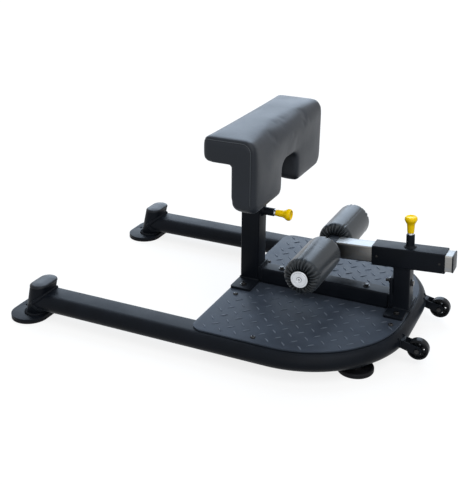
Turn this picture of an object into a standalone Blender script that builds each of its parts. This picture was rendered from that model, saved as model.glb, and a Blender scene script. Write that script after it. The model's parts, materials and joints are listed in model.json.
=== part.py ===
"""Sissy squat bench.

A flat-oval U frame carries a tread-plate deck. A calf pad stands on a telescoping rear
post, and two ankle rollers sit on a bar that slides in a sleeve on the front post.

Units are metres and +Z is up. The bench's length runs along X, with the U bend and its
wheels at +X. The bench is symmetric about Y = 0, and +Y is its left side. The places
below are measured from the foot of the front post's axis, on the floor, and the whole
bench is then centred on the origin by its parent empty.
"""
import math

import bmesh
import bpy
from mathutils import Matrix, Vector

# Clearances
SEAT_GAP = 0.0003
SLIDE_GAP = 0.0004
BOLT_HOLE_PLAY = 0.0006

# Frame tube, a flat oval laid flat and bent into a U
FRAME_TUBE_WIDTH = 0.100
FRAME_TUBE_HEIGHT = 0.057
TUBE_WALL = 0.003
FRAME_CLEARANCE = 0.0277
LEG_SPACING = 0.704
FRAME_BEND_RADIUS = 0.272
CROSSBAR_X = -0.004
LEG_COPE_DEPTH = 0.020

# Leaning posts at the ends of the legs, with their caps and foot plates
LEG_POST_LEAN = math.radians(13.5)
LEG_POST_TOP = 0.108
LEG_POST_FOOT_OFFSET = 0.015
LEG_CAP_OVERHANG = 0.0008
LEG_CAP_RISE = 0.0085
LEG_CAP_PLUG = 0.014
FOOT_PLATE_X = -1.076
FOOT_PLATE_LENGTH = 0.118
FOOT_PLATE_WIDTH = 0.176
FOOT_PLATE_THICKNESS = 0.008
FOOT_PAD_THICKNESS = 0.0067
FOOT_HOLE_RADIUS = 0.0045
FOOT_HOLE_INSET = 0.024

# Rubber cup feet under the bends
FRONT_FOOT_RADIUS = 0.052
FRONT_FOOT_RIM_HEIGHT = 0.014
FRONT_FOOT_FLOOR = 0.009
FRONT_FOOT_HUB_RADIUS = 0.016
FRONT_FOOT_ANGLE = math.radians(38)

# Deck and the cross tube under its rear edge
DECK_THICKNESS = 0.005
DECK_OVERHANG = 0.026
DECK_REAR_REACH = 0.0335
DECK_REAR_CORNER = 0.038
CROSS_TUBE_LENGTH_X = 0.060
CROSS_TUBE_HEIGHT = 0.050

# Bolts
BOLT_RADIUS = 0.004
BOLT_HEAD_RADIUS = 0.0075
BOLT_HEAD_HEIGHT = 0.0055
BOLT_END_PROUD = 0.008
DECK_BOLT_SPACING_REAR = 0.262
DECK_BOLT_SPACING_FRONT = 0.230
SIDE_BOLT_X = -0.332
REAR_PLATE_BOLT_SPACING = 0.148
FRONT_PLATE_BOLT_SPACING = 0.112
BEAM_BOLT_REAR_REACH = 0.0985
BEAM_BOLT_FRONT_REACH = 0.115
THROUGH_BOLT_RADIUS = 0.005
THROUGH_BOLT_HEAD_RADIUS = 0.0095
THROUGH_BOLT_HEAD_HEIGHT = 0.0065
THROUGH_BOLT_HEIGHT = 0.0875
THROUGH_NUT_HEIGHT = 0.008
THROUGH_BOLT_TAIL = 0.010

# Square tubes: the outer one of each telescoping pair, and the inner one
OUTER_TUBE = 0.060
INNER_TUBE = 0.050
TUBE_CORNER_WALLS = 1.5
BUSH_LENGTH = 0.025
BUSH_INSET = 0.001

# Rear post and the carriage of the calf pad
REAR_POST_X = -0.4875
REAR_POST_TOP = 0.358
BASE_PLATE_THICKNESS = 0.008
BASE_PLATE_CORNER = 0.006
REAR_PLATE_LENGTH = 0.067
REAR_PLATE_WIDTH = 0.200
PAD_POST_BOTTOM = 0.205
POST_PIN_HEIGHT = 0.3245
PAD_PITCH = 0.025
PAD_STEPS_UP = 2
PAD_STEPS_DOWN = 4

# Calf pad, an inverted L with a notch in its front slab
PAD_TOP = 0.618
PAD_WIDTH = 0.526
PAD_DEPTH = 0.152
PAD_HEIGHT = 0.2015
PAD_FRONT_OVERHANG = 0.1115
PAD_SLAB_THICKNESS = 0.0655
PAD_FACE_THICKNESS = 0.066
PAD_NOTCH_WIDTH = 0.124
PAD_NOTCH_HEIGHT = 0.100
PAD_NOTCH_CORNER = 0.034
PAD_LOWER_CORNER = 0.030
PAD_LIP_CORNER = 0.018
PAD_TOP_FRONT_CORNER = 0.028
PAD_REAR_CORNER = 0.012
PAD_FACE_HEEL_CORNER = 0.022
PAD_FACE_TOE_CORNER = 0.008
BOARD_THICKNESS = 0.012
BOARD_INSET = 0.010
PAD_BRACKET_THICKNESS = 0.005
PAD_BRACKET_WIDTH = 0.160
PAD_BRACKET_REAR = 0.035
PAD_BRACKET_LIP = 0.028

# Low beam between the two posts
BEAM_WIDTH = 0.050
BEAM_HEIGHT = 0.050
BEAM_END_PLATE = 0.008
BEAM_END_PLATE_WIDTH = 0.060
BEAM_END_PLATE_LIFT = 0.001
BEAM_REAR_PLATE_TOP = 0.150
BEAM_FRONT_PLATE_TOP = 0.105

# Front post, which leans towards the pad, and the sleeve on it
FRONT_POST_LEAN = math.radians(3.57)
FRONT_PLATE_REAR = 0.038
FRONT_PLATE_FRONT = 0.021
FRONT_PLATE_WIDTH = 0.160
SLEEVE_HEIGHT = 0.1712
SLEEVE_LENGTH = 0.2128
SLEEVE_OFFSET = 0.018
SET_SCREW_RADIUS = 0.003
SET_SCREW_INSET = 0.015

# Roller bar and rollers
BAR_REAR = 0.200
BAR_STICK_OUT = 0.019
BAR_PITCH = 0.015
BAR_STEPS_IN = 5
BAR_STEPS_OUT = 1
END_CAP_THICKNESS = 0.004
END_CAP_OVERHANG = 0.001
END_CAP_PLUG = 0.015
ROLLER_X = -0.2274
CROSS_ROD_RADIUS = 0.020
ROLLER_RADIUS = 0.055
ROLLER_LENGTH = 0.214
ROLLER_INNER_Y = 0.038
ROLLER_END_ROUNDING = 0.022
END_DISC_RADIUS = 0.025
END_DISC_THICKNESS = 0.0045
END_DISC_PLUG = 0.020

# Spring-loaded pull pins, measured along the pin from the face that carries it
PIN_NOSE_RADIUS = 0.004
PIN_ROD_RADIUS = 0.0038
PIN_SHOULDER_RADIUS = 0.0062
PIN_SHOULDER_HEIGHT = 0.0037
PIN_NOSE_PROUD = 0.0005
PIN_BARREL_RADIUS = 0.0123
PIN_BARREL_LENGTH = 0.038
PIN_BARREL_END_WALL = 0.003
PIN_RING_RADIUS = 0.00975
PIN_RING_HEIGHT = 0.0055
PIN_ROD_GRIP = 0.0127
KNOB_LENGTH = 0.049
KNOB_NECK_RADIUS = 0.0092
KNOB_WAIST_RADIUS = 0.0112
KNOB_CAP_RADIUS = 0.0184

# Wheels
WHEEL_X = 0.086
WHEEL_Z = 0.048
WHEEL_Y = 0.139
WHEEL_RADIUS = 0.031
WHEEL_WIDTH = 0.0246
WHEEL_RIM_DEPTH = 0.0065
WHEEL_HUB_RADIUS = 0.009
WHEEL_WEB = 0.008
WHEEL_HOLES = 10
WHEEL_HOLE_RADIUS = 0.0038
WHEEL_SIDE_PLAY = 0.001
BRACKET_THICKNESS = 0.004
BRACKET_END_RADIUS = 0.013
BRACKET_TOP = 0.0745
BRACKET_BOTTOM = 0.0515
BRACKET_WEB_REACH = 0.0475

# Worked out from the values above
HALF_SPACING = LEG_SPACING / 2
FRAME_TUBE_Z = FRAME_CLEARANCE + FRAME_TUBE_HEIGHT / 2
FRAME_TUBE_TOP = FRAME_CLEARANCE + FRAME_TUBE_HEIGHT
BEND_X = CROSSBAR_X - FRAME_BEND_RADIUS
BEND_Y = HALF_SPACING - FRAME_BEND_RADIUS
DECK_BOTTOM = FRAME_TUBE_TOP + SEAT_GAP
DECK_TOP = DECK_BOTTOM + DECK_THICKNESS
DECK_HALF_WIDTH = HALF_SPACING + DECK_OVERHANG
DECK_REAR_X = REAR_POST_X - DECK_REAR_REACH
DECK_FRONT_X = CROSSBAR_X + DECK_OVERHANG
PLATE_BOTTOM = DECK_TOP + SEAT_GAP
PLATE_TOP = PLATE_BOTTOM + BASE_PLATE_THICKNESS
FOOT_PLATE_BOTTOM = FOOT_PAD_THICKNESS + SEAT_GAP
FOOT_PLATE_TOP = FOOT_PLATE_BOTTOM + FOOT_PLATE_THICKNESS
LEG_POST_BOTTOM = FOOT_PLATE_TOP + SEAT_GAP
LEG_POST_FOOT_X = FOOT_PLATE_X + LEG_POST_FOOT_OFFSET
LEG_POST_DEPTH = FRAME_TUBE_HEIGHT / math.cos(LEG_POST_LEAN)
OUTER_HALF = OUTER_TUBE / 2
INNER_HALF = INNER_TUBE / 2
PAD_BOTTOM = PAD_TOP - PAD_HEIGHT
SLAB_BOTTOM = PAD_TOP - PAD_SLAB_THICKNESS
BRACKET_PLATE_BOTTOM = SLAB_BOTTOM - SEAT_GAP - PAD_BRACKET_THICKNESS
PAD_FACE_BACK = PAD_FRONT_OVERHANG - PAD_FACE_THICKNESS
BEAM_BOTTOM = DECK_TOP + SEAT_GAP
BEAM_TOP = BEAM_BOTTOM + BEAM_HEIGHT
BEAM_BOLT_REAR_X = REAR_POST_X + BEAM_BOLT_REAR_REACH
BEAM_BOLT_FRONT_X = -BEAM_BOLT_FRONT_REACH
SLEEVE_FRONT = SLEEVE_OFFSET + SLEEVE_LENGTH / 2
BAR_FRONT = SLEEVE_FRONT + BAR_STICK_OUT
BOLT_HOLE_RADIUS = BOLT_RADIUS + BOLT_HOLE_PLAY
NOSE_HOLE_RADIUS = PIN_NOSE_RADIUS + BOLT_HOLE_PLAY
TUBE_CORNER = TUBE_WALL * TUBE_CORNER_WALLS
TUBE_STEP = (OUTER_TUBE - INNER_TUBE) / 2
NOSE_REACH = TUBE_STEP + TUBE_WALL + PIN_NOSE_PROUD
RING_BOTTOM = PIN_BARREL_LENGTH + SEAT_GAP
KNOB_BOTTOM = RING_BOTTOM + PIN_RING_HEIGHT + SEAT_GAP
BENCH_REAR = FOOT_PLATE_X - FOOT_PLATE_LENGTH / 2
BAR_END = BAR_FRONT + SEAT_GAP + END_CAP_THICKNESS
BAR_END_BOTTOM = SLEEVE_HEIGHT - INNER_HALF - END_CAP_OVERHANG
BAR_END_X = BAR_END * math.cos(FRONT_POST_LEAN) - BAR_END_BOTTOM * math.sin(FRONT_POST_LEAN)
BENCH_FRONT = max(BAR_END_X, WHEEL_X + WHEEL_RADIUS)
ORIGIN_X = -(BENCH_REAR + BENCH_FRONT) / 2

# Fineness of the faceted round shapes
ROUND_STEP = math.radians(22.5)
WIDE_STEP = math.radians(9)
BODY_STEP = math.radians(15)
ROLLER_STEP = math.radians(12)
HOLE_STEP = math.radians(36)
SIX_SIDES = math.radians(60)
SMOOTH_ANGLE = math.radians(35)
FULL_TURN = 2 * math.pi
RIGHT_ANGLE = math.pi / 2

# Turns that lay a piece modelled along Z along X, or an outline drawn in XY into another plane
ALONG_X = (0, RIGHT_ANGLE, 0)
OUTLINE_IN_XZ = (RIGHT_ANGLE, 0, 0)
OUTLINE_IN_YZ = (RIGHT_ANGLE, 0, RIGHT_ANGLE)

SIDES = (("left", 1), ("right", -1))


# Scene

def clear_scene():
    for item in list(bpy.data.objects):
        bpy.data.objects.remove(item, do_unlink=True)


def new_collection(name):
    collection = bpy.data.collections.new(name)
    bpy.context.scene.collection.children.link(collection)
    return collection


def new_material(name, colour, roughness, metallic=0.0):
    material = bpy.data.materials.new(name)
    material.use_nodes = True
    shader = material.node_tree.nodes["Principled BSDF"]
    shader.inputs["Base Color"].default_value = (*colour, 1)
    shader.inputs["Roughness"].default_value = roughness
    shader.inputs["Metallic"].default_value = metallic
    return material


clear_scene()
BENCH = new_collection("sissy_squat_bench")

POWDER_COAT = new_material("black_powder_coat", (0.030, 0.034, 0.042), 0.42)
TREAD_PLATE = new_material("tread_plate", (0.085, 0.100, 0.130), 0.45, 0.2)
BRUSHED_STEEL = new_material("brushed_steel", (0.56, 0.57, 0.58), 0.28, 1.0)
ZINC = new_material("zinc", (0.62, 0.63, 0.65), 0.30, 1.0)
BLACK_BOLT = new_material("black_bolt", (0.030, 0.030, 0.033), 0.35, 0.6)
VINYL = new_material("grey_vinyl", (0.085, 0.095, 0.105), 0.50)
YELLOW_PLASTIC = new_material("yellow_plastic", (0.85, 0.60, 0.02), 0.28)
BLACK_PLASTIC = new_material("black_plastic", (0.018, 0.019, 0.022), 0.32)
BUSH_PLASTIC = new_material("bush_plastic", (0.045, 0.045, 0.047), 0.50)
RUBBER = new_material("black_rubber", (0.016, 0.016, 0.017), 0.75)
PLYWOOD = new_material("plywood", (0.42, 0.29, 0.16), 0.75)


def new_empty(name, location, rotation=(0, 0, 0), parent=None):
    empty = bpy.data.objects.new(name, None)
    empty.location = location
    empty.rotation_euler = rotation
    empty.parent = parent
    BENCH.objects.link(empty)
    return empty


BENCH_ORIGIN = new_empty("bench_origin", (ORIGIN_X, 0, 0))
FRONT_AXIS = new_empty("front_post_axis", (0, 0, DECK_TOP), (0, -FRONT_POST_LEAN, 0), BENCH_ORIGIN)


def place(mesh, name, material, location=(0, 0, 0), rotation=(0, 0, 0), parent=BENCH_ORIGIN):
    """Link a mesh as one named piece of the bench."""
    if not mesh.materials:
        mesh.materials.append(material)
    mesh.shade_smooth()
    mesh.set_sharp_from_angle(angle=SMOOTH_ANGLE)
    piece = bpy.data.objects.new(name, mesh)
    piece.location = location
    piece.rotation_euler = rotation
    piece.parent = parent
    BENCH.objects.link(piece)
    return piece


# Outlines, as lists of points

def rounded(corners, step=ROUND_STEP):
    """Polygon through corners (x, y, radius), each radius drawn as an arc."""
    points = []
    for index, (x, y, radius) in enumerate(corners):
        corner = Vector((x, y))
        back = (Vector(corners[index - 1][:2]) - corner).normalized()
        ahead = (Vector(corners[(index + 1) % len(corners)][:2]) - corner).normalized()
        opening = back.angle(ahead)
        if radius <= 0 or abs(opening - math.pi) < 1e-6:
            points.append(corner)
            continue
        centre = corner + (back + ahead).normalized() * radius / math.sin(opening / 2)
        start = corner + back * radius / math.tan(opening / 2) - centre
        turn = math.pi - opening
        side = 1 if back.x * ahead.y - back.y * ahead.x < 0 else -1
        steps = max(2, round(turn / step))
        for count in range(steps + 1):
            points.append(centre + Matrix.Rotation(side * turn * count / steps, 2) @ start)
    kept = [point for index, point in enumerate(points) if (point - points[index - 1]).length > 1e-6]
    return [tuple(point) for point in kept]


def rectangle(width, height, radius=0.0, step=ROUND_STEP):
    x = width / 2
    y = height / 2
    return rounded([(-x, -y, radius), (x, -y, radius), (x, y, radius), (-x, y, radius)], step)


def oval(width, height, step=ROUND_STEP):
    """Flat oval: straight sides with half-round ends."""
    return rectangle(width, height, min(width, height) / 2, step)


def circle(radius, x=0.0, y=0.0, step=ROUND_STEP):
    steps = round(FULL_TURN / step)
    angles = [FULL_TURN * index / steps for index in range(steps)]
    return [(x + radius * math.cos(angle), y + radius * math.sin(angle)) for angle in angles]


# Meshes

def mesh_of(source):
    """The evaluated mesh of a curve or of an object with modifiers, with its caps welded."""
    bpy.context.scene.collection.objects.link(source)
    graph = bpy.context.evaluated_depsgraph_get()
    mesh = bpy.data.meshes.new_from_object(source.evaluated_get(graph))
    bpy.data.objects.remove(source, do_unlink=True)
    form = bmesh.new()
    form.from_mesh(mesh)
    bmesh.ops.remove_doubles(form, verts=form.verts, dist=1e-6)
    form.to_mesh(mesh)
    form.free()
    mesh.materials.clear()
    return mesh


def slab(outline, thickness, holes=(), base=0.0):
    """Flat outline in XY with holes in it, standing on Z = base."""
    curve = bpy.data.curves.new("outline", "CURVE")
    curve.dimensions = "2D"
    curve.fill_mode = "BOTH"
    curve.extrude = thickness / 2
    for points in (outline, *holes):
        spline = curve.splines.new("POLY")
        spline.points.add(len(points) - 1)
        for target, (x, y) in zip(spline.points, points):
            target.co = (x, y, 0, 1)
        spline.use_cyclic_u = True
    return moved(mesh_of(bpy.data.objects.new("outline", curve)), (0, 0, base + thickness / 2))


def box_tube(width, height, length, base=0.0):
    """Hollow rectangular tube along Z."""
    inside = rectangle(width - 2 * TUBE_WALL, height - 2 * TUBE_WALL, TUBE_CORNER - TUBE_WALL)
    return slab(rectangle(width, height, TUBE_CORNER), length, [inside], base)


def rod(radius, length, base=0.0, step=ROUND_STEP):
    return slab(circle(radius, step=step), length, base=base)


def moved(mesh, location=(0, 0, 0), rotation=(0, 0, 0)):
    turn = Matrix.Rotation(rotation[2], 4, "Z") @ Matrix.Rotation(rotation[1], 4, "Y")
    turn = turn @ Matrix.Rotation(rotation[0], 4, "X")
    mesh.transform(Matrix.Translation(location) @ turn)
    return mesh


def combined(mesh, tool, operation):
    base = bpy.data.objects.new("base", mesh)
    other = bpy.data.objects.new("tool", tool)
    bpy.context.scene.collection.objects.link(other)
    boolean = base.modifiers.new("boolean", "BOOLEAN")
    boolean.operation = operation
    boolean.solver = "EXACT"
    boolean.object = other
    result = mesh_of(base)
    bpy.data.objects.remove(other, do_unlink=True)
    return result


def joined(mesh, *tools):
    for tool in tools:
        mesh = combined(mesh, tool, "UNION")
    return mesh


def cut(mesh, *tools):
    for tool in tools:
        mesh = combined(mesh, tool, "DIFFERENCE")
    return mesh


def nose_hole():
    """Cutter for the hole of a pull pin's nose, from a tube's axis out through its wall."""
    return rod(NOSE_HOLE_RADIUS, OUTER_TUBE, step=HOLE_STEP)


def drilled(mesh, places, radius, base, length):
    """Cut upright round holes, centred at the places (x, y)."""
    tools = [moved(rod(radius, length, base, HOLE_STEP), (x, y, 0)) for x, y in places]
    return cut(mesh, *tools)


def turned(profile, step=ROUND_STEP):
    """Turn a profile of points (radius, z) about Z. It runs down the outer side."""
    mesh = bpy.data.meshes.new("profile")
    form = bmesh.new()
    points = [form.verts.new((radius, 0, z)) for radius, z in profile]
    for first, second in zip(points, points[1:]):
        form.edges.new((first, second))
    if profile[0][0] > 0:
        form.edges.new((points[-1], points[0]))
    form.to_mesh(mesh)
    form.free()
    source = bpy.data.objects.new("profile", mesh)
    screw = source.modifiers.new("turn", "SCREW")
    screw.axis = "Z"
    screw.steps = round(FULL_TURN / step)
    screw.render_steps = screw.steps
    screw.use_merge_vertices = True
    screw.merge_threshold = 0.00001
    return mesh_of(source)


def stacked(outlines):
    """Closed stack of like outlines, each a pair (points, z), from the bottom up."""
    form = bmesh.new()
    first, z = outlines[0]
    face = form.faces.new([form.verts.new((x, y, z)) for x, y in first])
    bottom = face.copy()
    bottom.normal_flip()
    for points, z in outlines[1:]:
        grown = bmesh.ops.extrude_discrete_faces(form, faces=[face])
        face = grown["faces"][0]
        for vert, (x, y) in zip(face.verts, points):
            vert.co = (x, y, z)
    bmesh.ops.remove_doubles(form, verts=form.verts, dist=1e-7)
    bmesh.ops.recalc_face_normals(form, faces=form.faces)
    mesh = bpy.data.meshes.new("stack")
    form.to_mesh(mesh)
    form.free()
    return mesh


# Frame

def frame_skin(form, grow=0.0):
    """Open skin of the U tube: a section at the right leg's end, swept round to the left one."""
    leg_end = leg_post_x(FRAME_TUBE_Z) + LEG_POST_DEPTH / 2 - LEG_COPE_DEPTH
    section = oval(FRAME_TUBE_WIDTH + 2 * grow, FRAME_TUBE_HEIGHT + 2 * grow)
    points = [form.verts.new((leg_end, u - HALF_SPACING, v + FRAME_TUBE_Z)) for u, v in section]
    ring = [form.edges.new((points[index - 1], point)) for index, point in enumerate(points)]
    ring = pulled(form, ring, (BEND_X - leg_end, 0, 0))
    ring = bent(form, ring, (BEND_X, -BEND_Y, FRAME_TUBE_Z))
    ring = pulled(form, ring, (0, 2 * BEND_Y, 0))
    ring = bent(form, ring, (BEND_X, BEND_Y, FRAME_TUBE_Z))
    pulled(form, ring, (leg_end - BEND_X, 0, 0))
    bmesh.ops.recalc_face_normals(form, faces=form.faces)


def pulled(form, ring, way):
    """Extrude a ring of edges straight along a vector."""
    grown = bmesh.ops.extrude_edge_only(form, edges=ring)["geom"]
    verts = [item for item in grown if isinstance(item, bmesh.types.BMVert)]
    bmesh.ops.translate(form, verts=verts, vec=way)
    return [item for item in grown if isinstance(item, bmesh.types.BMEdge)]


def bent(form, ring, centre):
    """Sweep a ring of edges a quarter turn about an upright axis."""
    steps = round(RIGHT_ANGLE / WIDE_STEP)
    swept = bmesh.ops.spin(form, geom=ring, cent=centre, axis=(0, 0, 1), angle=RIGHT_ANGLE, steps=steps)
    return [item for item in swept["geom_last"] if isinstance(item, bmesh.types.BMEdge)]


def frame_solid(grow):
    """The U tube as a filled form, for fitting what is welded to its outside."""
    form = bmesh.new()
    frame_skin(form, grow)
    bmesh.ops.holes_fill(form, edges=form.edges)
    bmesh.ops.recalc_face_normals(form, faces=form.faces)
    mesh = bpy.data.meshes.new("frame_solid")
    form.to_mesh(mesh)
    form.free()
    return mesh


def make_frame_tube():
    form = bmesh.new()
    frame_skin(form)
    mesh = bpy.data.meshes.new("frame_skin")
    form.to_mesh(mesh)
    form.free()
    source = bpy.data.objects.new("frame_skin", mesh)
    solidify = source.modifiers.new("wall", "SOLIDIFY")
    solidify.thickness = TUBE_WALL
    solidify.offset = -1
    solidify.use_even_offset = True
    tube = mesh_of(source)
    for _, side in SIDES:
        tube = cut(tube, leg_post_solid(side, SEAT_GAP))
    holes = [(SIDE_BOLT_X, side * HALF_SPACING) for _, side in SIDES]
    for spacing in (DECK_BOLT_SPACING_FRONT, FRONT_PLATE_BOLT_SPACING):
        holes += [(CROSSBAR_X, side * spacing / 2) for _, side in SIDES]
    tube = drilled(tube, holes, BOLT_HOLE_RADIUS, FRAME_TUBE_Z, FRAME_TUBE_HEIGHT)
    place(tube, "frame_tube", POWDER_COAT)


def make_cross_tube():
    length = 2 * (HALF_SPACING - FRAME_TUBE_WIDTH / 2 - SEAT_GAP)
    tube = box_tube(CROSS_TUBE_LENGTH_X, CROSS_TUBE_HEIGHT, length, -length / 2)
    centre = (REAR_POST_X, 0, FRAME_TUBE_TOP - CROSS_TUBE_HEIGHT / 2)
    tube = moved(tube, centre, OUTLINE_IN_XZ)
    spacings = (DECK_BOLT_SPACING_REAR, REAR_PLATE_BOLT_SPACING)
    holes = [(REAR_POST_X, side * spacing / 2) for spacing in spacings for _, side in SIDES]
    tube = drilled(tube, holes, BOLT_HOLE_RADIUS, centre[2], CROSS_TUBE_HEIGHT)
    place(tube, "rear_cross_tube", POWDER_COAT)


# Leaning posts at the ends of the legs

def leg_post_x(z):
    """Where the leaning post's axis is at a height."""
    return LEG_POST_FOOT_X + (z - LEG_POST_BOTTOM) * math.tan(LEG_POST_LEAN)


def leaned(mesh, side):
    """Shear an upright form along the leaning post's axis, and move it to its side."""
    shear = Matrix.Identity(4)
    shear[0][2] = math.tan(LEG_POST_LEAN)
    mesh.transform(Matrix.Translation((leg_post_x(0), side * HALF_SPACING, 0)) @ shear)
    return mesh


def leg_post_section(grow=0.0):
    return oval(LEG_POST_DEPTH + 2 * grow, FRAME_TUBE_WIDTH + 2 * grow)


def leg_post_solid(side, grow):
    height = LEG_POST_TOP - LEG_POST_BOTTOM
    return leaned(slab(leg_post_section(grow), height + 2 * grow, base=LEG_POST_BOTTOM - grow), side)


def make_leg_posts():
    height = LEG_POST_TOP - LEG_POST_BOTTOM
    for name, side in SIDES:
        post = slab(leg_post_section(), height, [leg_post_section(-TUBE_WALL)], LEG_POST_BOTTOM)
        place(leaned(post, side), f"leg_post_{name}", POWDER_COAT)
        place(leaned(leg_cap(), side), f"leg_cap_{name}", BLACK_PLASTIC)


def leg_cap():
    """Push-in cap: a plug inside the post under a low dome."""
    plug = -TUBE_WALL - SLIDE_GAP
    seat = LEG_POST_TOP + SEAT_GAP
    levels = [
        (plug, LEG_POST_TOP - LEG_CAP_PLUG),
        (plug, seat),
        (LEG_CAP_OVERHANG, seat),
        (LEG_CAP_OVERHANG, seat + LEG_CAP_RISE * 0.35),
        (-LEG_CAP_RISE * 0.25, seat + LEG_CAP_RISE * 0.7),
        (-LEG_CAP_RISE, seat + LEG_CAP_RISE),
    ]
    return stacked([(leg_post_section(grow), z) for grow, z in levels])


def make_feet():
    outline = oval(FOOT_PLATE_LENGTH, FOOT_PLATE_WIDTH)
    hole = circle(FOOT_HOLE_RADIUS, FOOT_HOLE_INSET - FOOT_PLATE_LENGTH / 2)
    for name, side in SIDES:
        spot = (FOOT_PLATE_X, side * HALF_SPACING, 0)
        plate = slab(outline, FOOT_PLATE_THICKNESS, [hole], FOOT_PLATE_BOTTOM)
        place(plate, f"foot_plate_{name}", POWDER_COAT, spot)
        place(slab(outline, FOOT_PAD_THICKNESS, [hole]), f"foot_pad_{name}", RUBBER, spot)


def make_front_feet():
    top = FRAME_CLEARANCE - SEAT_GAP
    rim = FRONT_FOOT_RIM_HEIGHT
    profile = [
        (0, top),
        (FRONT_FOOT_HUB_RADIUS, top),
        (FRONT_FOOT_HUB_RADIUS, FRONT_FOOT_FLOOR),
        (FRONT_FOOT_RADIUS * 0.83, FRONT_FOOT_FLOOR),
        (FRONT_FOOT_RADIUS * 0.87, rim),
        (FRONT_FOOT_RADIUS * 0.95, rim),
        (FRONT_FOOT_RADIUS, rim * 0.7),
        (FRONT_FOOT_RADIUS, rim * 0.15),
        (FRONT_FOOT_RADIUS * 0.97, 0),
        (0, 0),
    ]
    reach_x = FRAME_BEND_RADIUS * math.cos(FRONT_FOOT_ANGLE)
    reach_y = FRAME_BEND_RADIUS * math.sin(FRONT_FOOT_ANGLE)
    for name, side in SIDES:
        spot = (BEND_X + reach_x, side * (BEND_Y + reach_y), 0)
        place(turned(profile, BODY_STEP), f"front_foot_{name}", RUBBER, spot)


# Deck and bolts

def bolt_places():
    """Each deck bolt: its name, its place in plan and the height of its seat."""
    places = []
    for name, side in SIDES:
        places += [
            (f"deck_bolt_rear_{name}", REAR_POST_X, side * DECK_BOLT_SPACING_REAR / 2, DECK_TOP),
            (f"deck_bolt_front_{name}", CROSSBAR_X, side * DECK_BOLT_SPACING_FRONT / 2, DECK_TOP),
            (f"deck_bolt_side_{name}", SIDE_BOLT_X, side * HALF_SPACING, DECK_TOP),
            (f"rear_plate_bolt_{name}", REAR_POST_X, side * REAR_PLATE_BOLT_SPACING / 2, PLATE_TOP),
            (f"front_plate_bolt_{name}", CROSSBAR_X, side * FRONT_PLATE_BOLT_SPACING / 2, PLATE_TOP),
        ]
    places.append(("beam_bolt_rear", BEAM_BOLT_REAR_X, 0, BEAM_TOP))
    places.append(("beam_bolt_front", BEAM_BOLT_FRONT_X, 0, BEAM_TOP))
    return places


def bolt(length):
    """Hexagon bolt, its seat at Z = 0 and its shank below."""
    head = rod(BOLT_HEAD_RADIUS, BOLT_HEAD_HEIGHT, step=SIX_SIDES)
    shank = rod(BOLT_RADIUS, length + BOLT_HEAD_HEIGHT / 2, -length, HOLE_STEP)
    return joined(head, shank)


def make_deck():
    outline = rounded([
        (DECK_REAR_X, -DECK_HALF_WIDTH, DECK_REAR_CORNER),
        (DECK_FRONT_X, -DECK_HALF_WIDTH, FRAME_BEND_RADIUS + DECK_OVERHANG),
        (DECK_FRONT_X, DECK_HALF_WIDTH, FRAME_BEND_RADIUS + DECK_OVERHANG),
        (DECK_REAR_X, DECK_HALF_WIDTH, DECK_REAR_CORNER),
    ], WIDE_STEP)
    holes = [circle(BOLT_HOLE_RADIUS, x, y, HOLE_STEP) for _, x, y, _ in bolt_places()]
    place(slab(outline, DECK_THICKNESS, holes, DECK_BOTTOM), "deck_plate", TREAD_PLATE)


def make_bolts():
    reach = DECK_THICKNESS + SEAT_GAP + TUBE_WALL + BOLT_END_PROUD
    for name, x, y, seat in bolt_places():
        length = seat - DECK_TOP + SEAT_GAP + reach
        place(bolt(length), name, BLACK_BOLT, (x, y, seat + SEAT_GAP))


# Rear post

def base_plate(length, width, bolt_spacing, offset=0.0, bolt_x=0.0):
    outline = [(x + offset, y) for x, y in rectangle(length, width, BASE_PLATE_CORNER)]
    holes = [circle(BOLT_HOLE_RADIUS, bolt_x, side * bolt_spacing / 2, HOLE_STEP) for _, side in SIDES]
    return slab(outline, BASE_PLATE_THICKNESS, holes, PLATE_BOTTOM)


def make_rear_post():
    """Upright outer tube welded to its base plate, with the hole for the pin's nose."""
    sunk = BASE_PLATE_THICKNESS / 2
    foot = PLATE_TOP - sunk
    tube = box_tube(OUTER_TUBE, OUTER_TUBE, REAR_POST_TOP - foot, foot)
    plate = base_plate(REAR_PLATE_LENGTH, REAR_PLATE_WIDTH, REAR_PLATE_BOLT_SPACING)
    hole = moved(nose_hole(), (0, 0, POST_PIN_HEIGHT), ALONG_X)
    post = cut(joined(plate, tube), hole)
    place(post, "rear_post", POWDER_COAT, (REAR_POST_X, 0, 0))


def bush(length, base):
    """Plastic lining between the outer and the inner tube."""
    outside = OUTER_TUBE - 2 * TUBE_WALL - 2 * SEAT_GAP
    inside = INNER_TUBE + 2 * SLIDE_GAP
    outer = rectangle(outside, outside, TUBE_CORNER - TUBE_WALL)
    inner = rectangle(inside, inside, TUBE_CORNER + SLIDE_GAP)
    return slab(outer, length, [inner], base)


def make_post_bush():
    top = REAR_POST_TOP - BUSH_INSET
    place(bush(BUSH_LENGTH, top - BUSH_LENGTH), "post_bush", BUSH_PLASTIC, (REAR_POST_X, 0, 0))


# Calf pad and its carriage

def make_pad_post():
    """Inner tube with a row of index holes in its front wall."""
    length = BRACKET_PLATE_BOTTOM - SEAT_GAP - PAD_POST_BOTTOM
    post = box_tube(INNER_TUBE, INNER_TUBE, length, PAD_POST_BOTTOM)
    for step in range(-PAD_STEPS_UP, PAD_STEPS_DOWN + 1):
        height = POST_PIN_HEIGHT + step * PAD_PITCH
        post = cut(post, moved(nose_hole(), (0, 0, height), ALONG_X))
    place(post, "pad_post", POWDER_COAT, (REAR_POST_X, 0, 0))


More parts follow.
